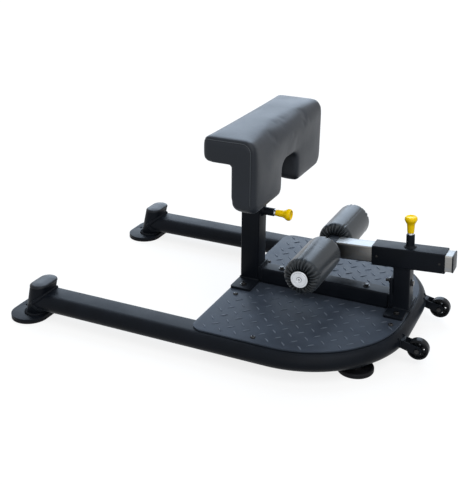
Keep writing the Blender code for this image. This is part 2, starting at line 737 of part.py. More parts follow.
def make_pad_bracket():
    """Angle plate on the pad post, under the slab and behind the front board."""
    rear = -PAD_BRACKET_REAR
    front = PAD_FACE_BACK - SEAT_GAP
    top = SLAB_BOTTOM - SEAT_GAP
    bottom = top - PAD_BRACKET_LIP
    inner_x = front - PAD_BRACKET_THICKNESS
    outline = rounded([
        (rear, BRACKET_PLATE_BOTTOM, 0),
        (inner_x, BRACKET_PLATE_BOTTOM, 0),
        (inner_x, bottom, 0),
        (front, bottom, 0),
        (front, top, 0),
        (rear, top, 0),
    ])
    angle = slab(outline, PAD_BRACKET_WIDTH, base=-PAD_BRACKET_WIDTH / 2)
    place(angle, "pad_bracket", POWDER_COAT, (REAR_POST_X, 0, 0), OUTLINE_IN_XZ)


def pad_front_outline(inset, grow=0.0):
    """The pad seen from the front, in YZ: rounded lower corners and the open notch."""
    half = PAD_WIDTH / 2 - inset + grow
    notch = PAD_NOTCH_WIDTH / 2 + inset - grow
    bottom = PAD_BOTTOM + inset - grow
    crown = PAD_BOTTOM + PAD_NOTCH_HEIGHT + inset - grow
    top = PAD_TOP + PAD_HEIGHT
    lower = PAD_LOWER_CORNER - inset + grow
    lip = PAD_LIP_CORNER
    arch = PAD_NOTCH_CORNER + inset - grow
    return rounded([
        (-half, bottom, lower),
        (-notch, bottom, lip),
        (-notch, crown, arch),
        (notch, crown, arch),
        (notch, bottom, lip),
        (half, bottom, lower),
        (half, top, 0),
        (-half, top, 0),
    ])


def shaped_pad(side_outline, front_outline):
    """Solid that has one outline seen from the side and another seen from the front."""
    long_way = slab(side_outline, 2 * PAD_WIDTH, base=-PAD_WIDTH)
    short_way = slab(front_outline, 4 * PAD_DEPTH, base=-2 * PAD_DEPTH)
    long_way = moved(long_way, rotation=OUTLINE_IN_XZ)
    return combined(long_way, moved(short_way, rotation=OUTLINE_IN_YZ), "INTERSECT")


def board(grow=0.0):
    """Angle of plywood let into the inner faces of the pad."""
    rear = PAD_FRONT_OVERHANG - PAD_DEPTH + BOARD_INSET - grow
    back = PAD_FACE_BACK
    front = back + BOARD_THICKNESS + grow
    top = SLAB_BOTTOM + BOARD_THICKNESS + grow
    bottom = PAD_BOTTOM + BOARD_INSET - grow
    side_outline = rounded([
        (rear, SLAB_BOTTOM - grow, 0),
        (back - grow, SLAB_BOTTOM - grow, 0),
        (back - grow, bottom, 0),
        (front, bottom, 0),
        (front, top, 0),
        (rear, top, 0),
    ])
    return shaped_pad(side_outline, pad_front_outline(BOARD_INSET, grow))


def make_pad():
    rear = PAD_FRONT_OVERHANG - PAD_DEPTH
    side_outline = rounded([
        (rear, PAD_TOP, PAD_REAR_CORNER),
        (rear, SLAB_BOTTOM, PAD_REAR_CORNER),
        (PAD_FACE_BACK, SLAB_BOTTOM, 0),
        (PAD_FACE_BACK, PAD_BOTTOM, PAD_FACE_HEEL_CORNER),
        (PAD_FRONT_OVERHANG, PAD_BOTTOM, PAD_FACE_TOE_CORNER),
        (PAD_FRONT_OVERHANG, PAD_TOP, PAD_TOP_FRONT_CORNER),
    ])
    pad = shaped_pad(side_outline, pad_front_outline(0))
    place(cut(pad, board(SEAT_GAP)), "calf_pad", VINYL, (REAR_POST_X, 0, 0))
    place(board(), "pad_board", PLYWOOD, (REAR_POST_X, 0, 0))


# Low beam

def make_low_beam():
    """Square tube on the deck with a plate at each end, notched over the base plates."""
    rear = REAR_POST_X + OUTER_HALF + SEAT_GAP
    front_inner = -INNER_HALF - SEAT_GAP - BEAM_END_PLATE
    front = front_inner + BEAM_END_PLATE / 4
    length = front - rear - BEAM_END_PLATE / 2
    centre = (front - length / 2, 0, BEAM_BOTTOM + BEAM_HEIGHT / 2)
    tube = box_tube(BEAM_HEIGHT, BEAM_WIDTH, length, -length / 2)
    tube = moved(tube, centre, ALONG_X)
    tube = cut(tube, *base_plate_clearances())
    beam = joined(tube, beam_rear_plate(rear), beam_front_plate(front_inner))
    holes = [(BEAM_BOLT_REAR_X, 0), (BEAM_BOLT_FRONT_X, 0)]
    beam = drilled(beam, holes, BOLT_HOLE_RADIUS, 0, BEAM_TOP + BEAM_HEIGHT)
    place(beam, "low_beam", POWDER_COAT)


def beam_end_plate(x, bottom, top, holes=()):
    outline = rectangle(BEAM_END_PLATE_WIDTH, top - bottom, BASE_PLATE_CORNER)
    plate = slab(outline, BEAM_END_PLATE, holes)
    return moved(plate, (x, 0, (bottom + top) / 2), OUTLINE_IN_YZ)


def beam_rear_plate(rear):
    return beam_end_plate(rear, PLATE_TOP + BEAM_END_PLATE_LIFT, BEAM_REAR_PLATE_TOP)


def beam_front_plate(front_inner):
    """Plate that leans with the front post, with the through bolt's hole."""
    dip = -front_inner * math.sin(FRONT_POST_LEAN)
    bottom = PLATE_TOP - DECK_TOP + BEAM_END_PLATE_LIFT + dip
    middle = (bottom + BEAM_FRONT_PLATE_TOP) / 2
    hole = circle(THROUGH_BOLT_RADIUS + BOLT_HOLE_PLAY, 0, THROUGH_BOLT_HEIGHT - middle, HOLE_STEP)
    plate = beam_end_plate(front_inner, bottom, BEAM_FRONT_PLATE_TOP, [hole])
    return moved(plate, (0, 0, DECK_TOP), (0, -FRONT_POST_LEAN, 0))


def base_plate_clearances():
    """Blocks as high as the base plates, reaching a gap past their edges."""
    tools = []
    edges = (
        (REAR_POST_X, REAR_POST_X + REAR_PLATE_LENGTH / 2 + SEAT_GAP),
        (-FRONT_PLATE_REAR - SEAT_GAP, 0),
    )
    for rear, front in edges:
        block = slab(rectangle(front - rear, REAR_PLATE_WIDTH), PLATE_TOP + SEAT_GAP)
        tools.append(moved(block, ((rear + front) / 2, 0, 0)))
    return tools


# Front post and sleeve

def make_front_post():
    """Leaning inner-size tube welded to its base plate, drilled for the through bolt."""
    foot = PLATE_TOP - DECK_TOP - BASE_PLATE_THICKNESS / 2
    top = SLEEVE_HEIGHT - OUTER_HALF - SEAT_GAP
    tube = box_tube(INNER_TUBE, INNER_TUBE, top - foot, foot)
    hole = rod(THROUGH_BOLT_RADIUS + BOLT_HOLE_PLAY, 2 * INNER_TUBE, -INNER_TUBE, HOLE_STEP)
    tube = cut(tube, moved(hole, (0, 0, THROUGH_BOLT_HEIGHT), ALONG_X))
    tube = moved(tube, (0, 0, DECK_TOP), (0, -FRONT_POST_LEAN, 0))
    length = FRONT_PLATE_REAR + FRONT_PLATE_FRONT
    offset = (FRONT_PLATE_FRONT - FRONT_PLATE_REAR) / 2
    plate = base_plate(length, FRONT_PLATE_WIDTH, FRONT_PLATE_BOLT_SPACING, offset, CROSSBAR_X)
    place(joined(plate, tube), "front_post", POWDER_COAT)


def make_through_bolt():
    """Bolt through the beam's front plate and the post, head in front and nut behind."""
    nut_face = INNER_HALF + 2 * SEAT_GAP + BEAM_END_PLATE
    tail = nut_face + THROUGH_NUT_HEIGHT + THROUGH_BOLT_TAIL
    seat = INNER_HALF + SEAT_GAP
    shank = rod(THROUGH_BOLT_RADIUS, seat + tail + THROUGH_BOLT_HEAD_HEIGHT / 2, -tail, HOLE_STEP)
    head = rod(THROUGH_BOLT_HEAD_RADIUS, THROUGH_BOLT_HEAD_HEIGHT, seat, SIX_SIDES)
    spot = (0, 0, THROUGH_BOLT_HEIGHT)
    place(joined(head, shank), "through_bolt", BLACK_BOLT, spot, ALONG_X, FRONT_AXIS)
    hole = circle(THROUGH_BOLT_RADIUS + BOLT_HOLE_PLAY, step=HOLE_STEP)
    base = -nut_face - THROUGH_NUT_HEIGHT
    nut = slab(circle(THROUGH_BOLT_HEAD_RADIUS, step=SIX_SIDES), THROUGH_NUT_HEIGHT, [hole], base)
    place(nut, "through_nut", BLACK_BOLT, spot, ALONG_X, FRONT_AXIS)


def make_sleeve():
    """Outer-size tube across the front post, with holes for the pin and the set screws."""
    tube = box_tube(OUTER_TUBE, OUTER_TUBE, SLEEVE_LENGTH, -SLEEVE_LENGTH / 2)
    tube = moved(tube, rotation=ALONG_X)
    tube = cut(tube, nose_hole())
    for place_x in set_screw_places():
        hole = rod(SET_SCREW_RADIUS + BOLT_HOLE_PLAY, OUTER_TUBE, step=HOLE_STEP)
        tube = cut(tube, moved(hole, (place_x, 0, 0), OUTLINE_IN_XZ))
    place(tube, "bar_sleeve", POWDER_COAT, (SLEEVE_OFFSET, 0, SLEEVE_HEIGHT), parent=FRONT_AXIS)


def set_screw_places():
    reach = SLEEVE_LENGTH / 2 - SET_SCREW_INSET
    return (-reach, reach)


def make_sleeve_fittings():
    """Bushes inside the sleeve's ends, and the set screws in its right face."""
    reach = SLEEVE_LENGTH / 2 - BUSH_INSET
    spot = (SLEEVE_OFFSET, 0, SLEEVE_HEIGHT)
    ends = (("rear", -reach), ("front", reach - BUSH_LENGTH))
    for (name, base), place_x in zip(ends, set_screw_places()):
        place(bush(BUSH_LENGTH, base), f"sleeve_bush_{name}", BUSH_PLASTIC, spot, ALONG_X, FRONT_AXIS)
        screw = rod(SET_SCREW_RADIUS, TUBE_WALL, OUTER_HALF - TUBE_WALL, HOLE_STEP)
        screw_spot = (SLEEVE_OFFSET + place_x, 0, SLEEVE_HEIGHT)
        place(screw, f"sleeve_set_screw_{name}", BLACK_BOLT, screw_spot, OUTLINE_IN_XZ, FRONT_AXIS)


# Roller bar and rollers

def make_roller_bar():
    """Inner tube with a row of index holes in its top wall."""
    length = BAR_REAR + BAR_FRONT
    bar = box_tube(INNER_TUBE, INNER_TUBE, length, -BAR_REAR - SLEEVE_OFFSET)
    bar = moved(bar, rotation=ALONG_X)
    for step in range(-BAR_STEPS_IN, BAR_STEPS_OUT + 1):
        bar = cut(bar, moved(nose_hole(), (step * BAR_PITCH, 0, 0)))
    place(bar, "roller_bar", BRUSHED_STEEL, (SLEEVE_OFFSET, 0, SLEEVE_HEIGHT), parent=FRONT_AXIS)


def make_bar_end_cap():
    plug_size = INNER_TUBE - 2 * TUBE_WALL - 2 * SLIDE_GAP
    plug_base = END_CAP_THICKNESS / 2 - END_CAP_PLUG
    plug = slab(rectangle(plug_size, plug_size, SEAT_GAP), END_CAP_PLUG, base=plug_base)
    size = INNER_TUBE + 2 * END_CAP_OVERHANG
    flange = slab(rectangle(size, size, TUBE_CORNER), END_CAP_THICKNESS)
    spot = (BAR_FRONT + SEAT_GAP, 0, SLEEVE_HEIGHT)
    place(joined(flange, plug), "bar_end_cap", BLACK_PLASTIC, spot, ALONG_X, FRONT_AXIS)


def cross_rod_half():
    """Half the length of the rod that the rollers turn on."""
    return ROLLER_INNER_Y + ROLLER_LENGTH + SEAT_GAP


def make_cross_rod():
    """Tube across the bar's rear end, welded to a square stub that closes the bar."""
    half = cross_rod_half()
    bore = CROSS_ROD_RADIUS - TUBE_WALL
    tube = moved(rod(CROSS_ROD_RADIUS, 2 * half, -half, BODY_STEP), rotation=OUTLINE_IN_XZ)
    reach = -BAR_REAR - SEAT_GAP - ROLLER_X
    stub = slab(rectangle(INNER_TUBE, INNER_TUBE, TUBE_CORNER), reach)
    stub = moved(stub, rotation=ALONG_X)
    hollow = moved(rod(bore, 4 * half, -2 * half, BODY_STEP), rotation=OUTLINE_IN_XZ)
    spot = (ROLLER_X, 0, SLEEVE_HEIGHT)
    place(cut(joined(tube, stub), hollow), "roller_cross_rod", POWDER_COAT, spot, parent=FRONT_AXIS)


def make_rollers():
    inner = ROLLER_INNER_Y
    outer = inner + ROLLER_LENGTH
    soft = ROLLER_END_ROUNDING
    bore = CROSS_ROD_RADIUS + 2 * SLIDE_GAP
    core = ROLLER_RADIUS - soft
    profile = [(bore, inner), (bore, outer)]
    for count in range(4):
        angle = RIGHT_ANGLE * (1 - count / 3)
        profile.append((core + soft * math.cos(angle), outer - soft + soft * math.sin(angle)))
    for count in range(4):
        angle = -RIGHT_ANGLE * count / 3
        profile.append((core + soft * math.cos(angle), inner + soft + soft * math.sin(angle)))
    for name, side in SIDES:
        turn = (-side * RIGHT_ANGLE, 0, 0)
        spot = (ROLLER_X, 0, SLEEVE_HEIGHT)
        roller = turned(profile, ROLLER_STEP)
        place(roller, f"roller_{name}", VINYL, spot, turn, FRONT_AXIS)
        place(end_disc(), f"roller_end_disc_{name}", ZINC, spot, turn, FRONT_AXIS)


def end_disc():
    """Retaining disc with the plug that holds it in the rod's end."""
    seat = cross_rod_half() + SEAT_GAP
    plug = CROSS_ROD_RADIUS - TUBE_WALL - SLIDE_GAP
    edge = END_DISC_THICKNESS / 5
    return turned([
        (0, seat + END_DISC_THICKNESS),
        (END_DISC_RADIUS - edge, seat + END_DISC_THICKNESS),
        (END_DISC_RADIUS, seat + END_DISC_THICKNESS - edge),
        (END_DISC_RADIUS, seat),
        (plug, seat),
        (plug, seat - END_DISC_PLUG),
        (0, seat - END_DISC_PLUG),
    ], BODY_STEP)


# Pull pins

def pin_barrel():
    """Welded barrel that holds the pin's spring, open towards the tube that carries it."""
    top = PIN_BARREL_LENGTH
    bore = PIN_SHOULDER_RADIUS + BOLT_HOLE_PLAY
    neck = PIN_ROD_RADIUS + BOLT_HOLE_PLAY
    return turned([
        (PIN_BARREL_RADIUS, top),
        (PIN_BARREL_RADIUS, SEAT_GAP),
        (bore, SEAT_GAP),
        (bore, top - PIN_BARREL_END_WALL),
        (neck, top - PIN_BARREL_END_WALL),
        (neck, top),
    ])


def pin_plunger():
    """Nose, shoulder, rod and stop ring turned in one piece."""
    shoulder = SEAT_GAP + BOLT_HOLE_PLAY
    end = KNOB_BOTTOM + PIN_ROD_GRIP
    return turned([
        (0, end),
        (PIN_ROD_RADIUS, end),
        (PIN_ROD_RADIUS, RING_BOTTOM + PIN_RING_HEIGHT),
        (PIN_RING_RADIUS, RING_BOTTOM + PIN_RING_HEIGHT),
        (PIN_RING_RADIUS, RING_BOTTOM),
        (PIN_ROD_RADIUS, RING_BOTTOM),
        (PIN_ROD_RADIUS, shoulder + PIN_SHOULDER_HEIGHT),
        (PIN_SHOULDER_RADIUS, shoulder + PIN_SHOULDER_HEIGHT),
        (PIN_SHOULDER_RADIUS, shoulder),
        (PIN_NOSE_RADIUS, shoulder),
        (PIN_NOSE_RADIUS, -NOSE_REACH + PIN_NOSE_RADIUS / 4),
        (PIN_NOSE_RADIUS * 0.75, -NOSE_REACH),
        (0, -NOSE_REACH),
    ], HOLE_STEP)


def pin_knob():
    """Pull knob: a waisted stem under a round cap with a dished end."""
    top = KNOB_BOTTOM + KNOB_LENGTH
    bore = PIN_ROD_RADIUS + SLIDE_GAP
    bore_end = KNOB_BOTTOM + PIN_ROD_GRIP + SEAT_GAP
    return turned([
        (0, top - KNOB_LENGTH * 0.06),
        (KNOB_CAP_RADIUS * 0.62, top - KNOB_LENGTH * 0.05),
        (KNOB_CAP_RADIUS * 0.78, top),
        (KNOB_CAP_RADIUS * 0.94, top - KNOB_LENGTH * 0.04),
        (KNOB_CAP_RADIUS, top - KNOB_LENGTH * 0.12),
        (KNOB_CAP_RADIUS, top - KNOB_LENGTH * 0.20),
        (KNOB_CAP_RADIUS * 0.84, top - KNOB_LENGTH * 0.33),
        (KNOB_WAIST_RADIUS, top - KNOB_LENGTH * 0.47),
        (KNOB_NECK_RADIUS, KNOB_BOTTOM),
        (bore, KNOB_BOTTOM),
        (bore, bore_end),
        (0, bore_end),
    ])


def make_pull_pins():
    spots = (
        ("sleeve_pin", (SLEEVE_OFFSET, 0, SLEEVE_HEIGHT + OUTER_HALF), (0, 0, 0), FRONT_AXIS),
        ("post_pin", (REAR_POST_X + OUTER_HALF, 0, POST_PIN_HEIGHT), ALONG_X, BENCH_ORIGIN),
    )
    for name, spot, turn, parent in spots:
        place(pin_barrel(), f"{name}_barrel", POWDER_COAT, spot, turn, parent)
        place(pin_plunger(), f"{name}_plunger", ZINC, spot, turn, parent)
        place(pin_knob(), f"{name}_knob", YELLOW_PLASTIC, spot, turn, parent)


# Wheels

def wheel():
    """Moulded wheel: rim, web with round holes, and hub, turned about Z."""
    half = WHEEL_WIDTH / 2
    rim = WHEEL_RADIUS - WHEEL_RIM_DEPTH
    web = WHEEL_WEB / 2
    bore = BOLT_RADIUS + SLIDE_GAP
    shoulder = WHEEL_RIM_DEPTH / 3
    side = [
        (WHEEL_RADIUS, half - shoulder),
        (WHEEL_RADIUS - shoulder, half),
        (rim, half),
        (rim, web),
        (WHEEL_HUB_RADIUS, web),
        (WHEEL_HUB_RADIUS, half),
        (bore, half),
    ]
    profile = [(radius, -z) for radius, z in side] + side[::-1]
    body = turned(profile, BODY_STEP)
    ring = (rim + WHEEL_HUB_RADIUS) / 2
    for index in range(WHEEL_HOLES):
        angle = FULL_TURN * index / WHEEL_HOLES
        hole = rod(WHEEL_HOLE_RADIUS, WHEEL_WIDTH, -half, SIX_SIDES)
        body = cut(body, moved(hole, (ring * math.cos(angle), ring * math.sin(angle), 0)))
    return body


def wheel_ear(root):
    """Outline of an ear in XZ: straight sides from the frame tube, tangent to a round end."""
    ends = []
    for z, side in ((BRACKET_BOTTOM, 1), (BRACKET_TOP, -1)):
        back = Vector((root - WHEEL_X, z - WHEEL_Z))
        angle = math.atan2(back.y, back.x) % FULL_TURN
        ends.append(angle + side * math.acos(BRACKET_END_RADIUS / back.length))
    start = ends[0] - FULL_TURN
    steps = round((ends[1] - start) / ROUND_STEP)
    outline = [(root, BRACKET_BOTTOM)]
    for count in range(steps + 1):
        angle = start + (ends[1] - start) * count / steps
        x = WHEEL_X + BRACKET_END_RADIUS * math.cos(angle)
        outline.append((x, WHEEL_Z + BRACKET_END_RADIUS * math.sin(angle)))
    return outline + [(root, BRACKET_TOP)]


def wheel_bracket(side):
    """Two ears and a web, coped to the bend of the frame tube. Y = 0 is the bench's middle."""
    inner = WHEEL_WIDTH / 2 + WHEEL_SIDE_PLAY
    root = CROSSBAR_X + FRAME_TUBE_WIDTH / 4
    outline = wheel_ear(root)
    hole = circle(BOLT_HOLE_RADIUS, WHEEL_X, WHEEL_Z, HOLE_STEP)
    ears = []
    for base in (-inner - BRACKET_THICKNESS, inner):
        ears.append(moved(slab(outline, BRACKET_THICKNESS, [hole], base), rotation=OUTLINE_IN_XZ))
    web_root = root + BRACKET_THICKNESS / 2
    web_width = 2 * inner + BRACKET_THICKNESS
    web_height = BRACKET_TOP - BRACKET_BOTTOM - BRACKET_THICKNESS
    web = slab(rectangle(BRACKET_WEB_REACH - web_root, web_width), web_height, base=BRACKET_BOTTOM)
    web = moved(web, ((BRACKET_WEB_REACH + web_root) / 2, 0, 0))
    bracket = moved(joined(web, *ears), (0, side * WHEEL_Y, 0))
    return cut(bracket, frame_solid(SEAT_GAP))


def wheel_bolt():
    """Axle bolt, its head below and its shank up through both ears."""
    inner = WHEEL_WIDTH / 2 + WHEEL_SIDE_PLAY
    seat = inner + BRACKET_THICKNESS + SEAT_GAP
    head = rod(BOLT_HEAD_RADIUS, BOLT_HEAD_HEIGHT, -seat - BOLT_HEAD_HEIGHT, SIX_SIDES)
    shank = rod(BOLT_RADIUS, 2 * seat + BOLT_HEAD_HEIGHT / 2, -seat - BOLT_HEAD_HEIGHT / 2, HOLE_STEP)
    return joined(head, shank)


def make_wheels():
    for name, side in SIDES:
        spot = (WHEEL_X, side * WHEEL_Y, WHEEL_Z)
        place(wheel_bracket(side), f"wheel_bracket_{name}", POWDER_COAT)
        place(wheel(), f"wheel_{name}", BLACK_PLASTIC, spot, OUTLINE_IN_XZ)
        place(wheel_bolt(), f"wheel_bolt_{name}", BLACK_BOLT, spot, (-RIGHT_ANGLE, 0, 0))


def main():
    make_frame_tube()
    make_cross_tube()
    make_leg_posts()
    make_feet()
    make_front_feet()
    make_deck()
    make_bolts()
    make_rear_post()
    make_post_bush()
    make_pad_post()
    make_pad_bracket()
    make_pad()
    make_low_beam()
    make_front_post()
    make_through_bolt()
    make_sleeve()
    make_sleeve_fittings()
    make_roller_bar()
    make_bar_end_cap()
    make_cross_rod()
    make_rollers()
    make_pull_pins()
    make_wheels()


main()
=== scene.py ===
"""Sissy squat bench, dressed for a studio picture.

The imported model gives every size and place. The pieces below are made round it: the bent
frame and its welds, the tread deck, the posts and the beam, the calf pad, the gathered
rollers on their bar, the pull pins, the wheels and the feet. Units are metres and +Z is up.
"""

import json
import math

import bmesh
import bpy
from mathutils import Matrix, Vector
from mathutils.bvhtree import BVHTree
from mathutils.kdtree import KDTree


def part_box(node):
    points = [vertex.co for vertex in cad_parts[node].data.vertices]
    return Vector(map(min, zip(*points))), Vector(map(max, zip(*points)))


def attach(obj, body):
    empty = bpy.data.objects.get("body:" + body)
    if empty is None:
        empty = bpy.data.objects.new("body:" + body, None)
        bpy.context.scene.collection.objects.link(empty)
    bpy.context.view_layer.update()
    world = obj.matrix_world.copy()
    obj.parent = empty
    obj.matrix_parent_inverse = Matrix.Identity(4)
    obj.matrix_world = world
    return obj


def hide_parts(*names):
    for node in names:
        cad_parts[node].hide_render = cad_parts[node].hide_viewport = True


bl_info = {
    "name": "Sissy squat bench",
    "version": (1, 0, 0),
    "blender": (4, 5, 0),
    "location": "3D View > Sidebar > Squat Bench",
    "description": "Makes the looks of the sissy squat bench round its packed model",
    "category": "Add Mesh",
}

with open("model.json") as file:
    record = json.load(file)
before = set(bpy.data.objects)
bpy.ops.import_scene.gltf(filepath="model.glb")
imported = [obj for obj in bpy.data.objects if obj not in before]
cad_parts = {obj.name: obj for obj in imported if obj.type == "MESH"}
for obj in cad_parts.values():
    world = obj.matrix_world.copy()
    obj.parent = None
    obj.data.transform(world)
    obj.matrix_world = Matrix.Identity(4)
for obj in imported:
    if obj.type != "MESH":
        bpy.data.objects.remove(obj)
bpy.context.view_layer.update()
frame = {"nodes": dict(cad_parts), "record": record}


def at(x=0.0, y=0.0, z=0.0):
    return Matrix.Translation((x, y, z))


def about(axis, angle):
    return Matrix.Rotation(angle, 4, axis)


TURN = 2 * math.pi
QUARTER = math.pi / 2
SIDES = (("left", 1), ("right", -1))
ALONG_X = about("Y", QUARTER)

# Air between two pieces that touch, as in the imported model
GAP = 0.0003

# The frame tube's run, in plan and in height
POST_X = 0.498314
TUBE_WIDE = 0.100
TUBE_HIGH = 0.057
TUBE_Z = 0.0562
LEG_Y = 0.352
BEND_RADIUS = 0.272
BEND_X = POST_X - 0.276
BEND_Y = LEG_Y - BEND_RADIUS

# The leaning posts at the legs' ends, and their foot plates
LEG_LEAN = math.radians(13.5)
LEG_FOOT_X = POST_X - 1.061
LEG_FOOT_Z = 0.0153
LEG_TOP = 0.108
LEG_DEEP = TUBE_HIGH / math.cos(LEG_LEAN)
FOOT_X = POST_X - 1.076
FOOT_WIDE = 0.176
FOOT_DEEP = 0.118

# Deck and the base plates on it, each long and wide
DECK_TOP = 0.0900
DECK_OVERHANG = 0.026
DECK_CORNER = 0.038
PLATE_LOW = 0.0903
PLATE_TOP = 0.0983
REAR_BASE = (0.067, 0.200)
FRONT_BASE = (0.059, 0.160)
FRONT_BASE_X = POST_X - 0.0085

# Square tubes and the beam's end plates
OUTER = 0.060
INNER = 0.050
WALL = 0.003
CORNER = 0.0045
REAR_POST_X = POST_X - 0.4875
REAR_POST_TOP = 0.358
PIN_HEIGHT = 0.3245
END_PLATE = 0.008
END_STACK = END_PLATE + GAP
REAR_PLATE_TOP = 0.150
FRONT_PLATE_TOP = 0.105
BEAM_LOW = DECK_TOP + GAP
BEAM_TOP = BEAM_LOW + INNER

# The front post's own axes: its foot on the deck, leaning towards the pad
LEAN = math.radians(3.57)
FRONT = at(POST_X, 0, DECK_TOP) @ about("Y", -LEAN)
SLEEVE_HEIGHT = 0.1712
SLEEVE_OFFSET = 0.018
SLEEVE_LONG = 0.2128
SLEEVE_AXES = FRONT @ at(SLEEVE_OFFSET, 0, SLEEVE_HEIGHT)
ROLLER_AXES = FRONT @ at(-0.2274, 0, SLEEVE_HEIGHT)
SLEEVE_PIN_AXES = SLEEVE_AXES @ at(z=OUTER / 2)
POST_PIN_AXES = at(REAR_POST_X + OUTER / 2, 0, PIN_HEIGHT) @ ALONG_X

# Rollers, from the bar's middle out
ROLLER_IN = 0.038
ROLLER_OUT = 0.252
ROLLER_RADIUS = 0.055
ROLLER_BORE = 0.0208
ROLLER_SOFT = 0.024
ROLLER_STEPS = 216
ROLLER_SEAM = -34 * TURN / ROLLER_STEPS

# The notch in the pad's foot
NOTCH_HIGH = 0.100
NOTCH_HALF = 0.062

# Wheels
WHEEL_X = POST_X + 0.086
WHEEL_Y = 0.139
WHEEL_Z = 0.048

# Each deck fastener: its node, its place in plan, its seat and its kind
DECK_BOLTS = [(f"{node}_{name}", x, side * y, seat, kind) for name, side in SIDES
              for node, x, y, seat, kind in (
                  ("deck_bolt_rear", REAR_POST_X, 0.131, DECK_TOP, "button"),
                  ("deck_bolt_front", POST_X - 0.004, 0.115, DECK_TOP, "button"),
                  ("deck_bolt_side", POST_X - 0.332, LEG_Y, DECK_TOP, "button"),
                  ("rear_plate_bolt", REAR_POST_X, 0.074, PLATE_TOP, "cap"),
                  ("front_plate_bolt", POST_X - 0.004, 0.056, PLATE_TOP, "cap"))]
DECK_BOLTS += [("beam_bolt_rear", REAR_POST_X + 0.0985, 0, BEAM_TOP, "hexagon"),
               ("beam_bolt_front", POST_X - 0.115, 0, BEAM_TOP, "hexagon")]

# The photograph's camera
CAMERA_PLACE = (0.994105, -2.277644, 1.293255)
CAMERA_ANGLES = (24.506821, 23.587482, -0.600371)
FOCAL_PIXELS = 862.0142439
PHOTO_WIDE = 485
SENSOR = 36

FINISHES = {}


# Sizes and colours that a user would change

class FrameLooks(bpy.types.PropertyGroup):
    """Powder-coated frame, posts and their welds."""
    coat_colour: bpy.props.FloatVectorProperty(
        name="Coat colour", description="Colour of the powder coat",
        subtype="COLOR", size=3, min=0, max=1, default=(0.0052, 0.0068, 0.0100))
    coat_roughness: bpy.props.FloatProperty(
        name="Coat roughness", description="How matt the powder coat is",
        subtype="FACTOR", min=0, max=1, default=0.40)
    weld_radius: bpy.props.FloatProperty(
        name="Weld radius", description="Half the thickness of a weld bead",
        unit="LENGTH", min=0.001, max=0.008, default=0.0036)
    weld_pitch: bpy.props.FloatProperty(
        name="Weld pitch", description="Distance between the ripples of a weld bead",
        unit="LENGTH", min=0.001, max=0.01, default=0.0036)
    edge_round: bpy.props.FloatProperty(
        name="Edge rounding", description="Rounding of the cut edges of plates and tubes",
        unit="LENGTH", min=0.0002, max=0.002, default=0.0007)


class DeckLooks(bpy.types.PropertyGroup):
    """Tread plate of the deck."""
    plate_colour: bpy.props.FloatVectorProperty(
        name="Plate colour", description="Colour of the tread plate's coat",
        subtype="COLOR", size=3, min=0, max=1, default=(0.035, 0.044, 0.060))
    # Lighter copy of the plate colour for the lug tops: wear with a painted highlight.
    worn_highlight_colour: bpy.props.FloatVectorProperty(
        name="Worn_highlight colour", description="Colour of the rubbed_and_highlighted tops of the lugs",
        subtype="COLOR", size=3, min=0, max=1, default=(0.082, 0.097, 0.122))
    lug_pitch_long: bpy.props.FloatProperty(
        name="Pitch along", description="Distance between like lugs along the bench",
        unit="LENGTH", min=0.02, max=0.1, default=0.0484)
    lug_pitch_across: bpy.props.FloatProperty(
        name="Pitch across", description="Distance between like lugs across the bench",
        unit="LENGTH", min=0.02, max=0.1, default=0.0540)
    lug_length: bpy.props.FloatProperty(
        name="Lug length", description="Length of a raised lug",
        unit="LENGTH", min=0.01, max=0.05, default=0.027)
    lug_width: bpy.props.FloatProperty(
        name="Lug width", description="Width of a raised lug",
        unit="LENGTH", min=0.002, max=0.02, default=0.0066)
    lug_height: bpy.props.FloatProperty(
        name="Lug height", description="How far a lug stands above the plate",
        unit="LENGTH", min=0.0003, max=0.003, default=0.0017)


class PaddingLooks(bpy.types.PropertyGroup):
    """Vinyl of the calf pad and the rollers."""
    vinyl_colour: bpy.props.FloatVectorProperty(
        name="Vinyl colour", description="Colour of the pad's vinyl",
        subtype="COLOR", size=3, min=0, max=1, default=(0.018, 0.022, 0.029))
    roller_colour: bpy.props.FloatVectorProperty(
        name="Roller colour", description="Colour of the rollers' vinyl",
        subtype="COLOR", size=3, min=0, max=1, default=(0.016, 0.021, 0.026))
    pad_start: bpy.props.FloatProperty(
        name="Slack start", description="How far inside its finished form the pad starts",
        unit="LENGTH", min=0, max=0.01, default=0.0015)
    pad_swell: bpy.props.FloatProperty(
        name="Pad swell", description="Most that the pad's skin moves as it fills",
        unit="LENGTH", min=0, max=0.016, default=0.0060)
    pleats: bpy.props.IntProperty(
        name="Pleats", description="Gathered folds round each end of a roller",
        min=8, max=60, default=25)
    pleat_depth: bpy.props.FloatProperty(
        name="Pleat depth", description="Depth of the gathered folds",
        unit="LENGTH", min=0, max=0.012, default=0.0070)


class FittingLooks(bpy.types.PropertyGroup):
    """Knobs, discs, wheels and bolts."""
    knob_colour: bpy.props.FloatVectorProperty(
        name="Knob colour", description="Colour of the pull knobs",
        subtype="COLOR", size=3, min=0, max=1, default=(1.0, 0.66, 0.0))
    wheel_colour: bpy.props.FloatVectorProperty(
        name="Wheel colour", description="Colour of the wheels",
        subtype="COLOR", size=3, min=0, max=1, default=(0.0075, 0.0085, 0.0105))
    round_steps: bpy.props.IntProperty(
        name="Round steps", description="Faces round a turned fitting",
        min=16, max=128, default=56)


class BenchLooks(bpy.types.PropertyGroup):
    """All the sizes and colours of the bench."""
    frame: bpy.props.PointerProperty(type=FrameLooks)
    deck: bpy.props.PointerProperty(type=DeckLooks)
    padding: bpy.props.PointerProperty(type=PaddingLooks)
    fittings: bpy.props.PointerProperty(type=FittingLooks)


def looks():
    return bpy.context.scene.squat_bench


# Pieces

def object_of(form, name):
    """Make a form an object of the scene."""
    mesh = bpy.data.meshes.new(name)
    form.to_mesh(mesh)
    form.free()
    made = bpy.data.objects.new(name, mesh)
    bpy.context.scene.collection.objects.link(made)
    return made


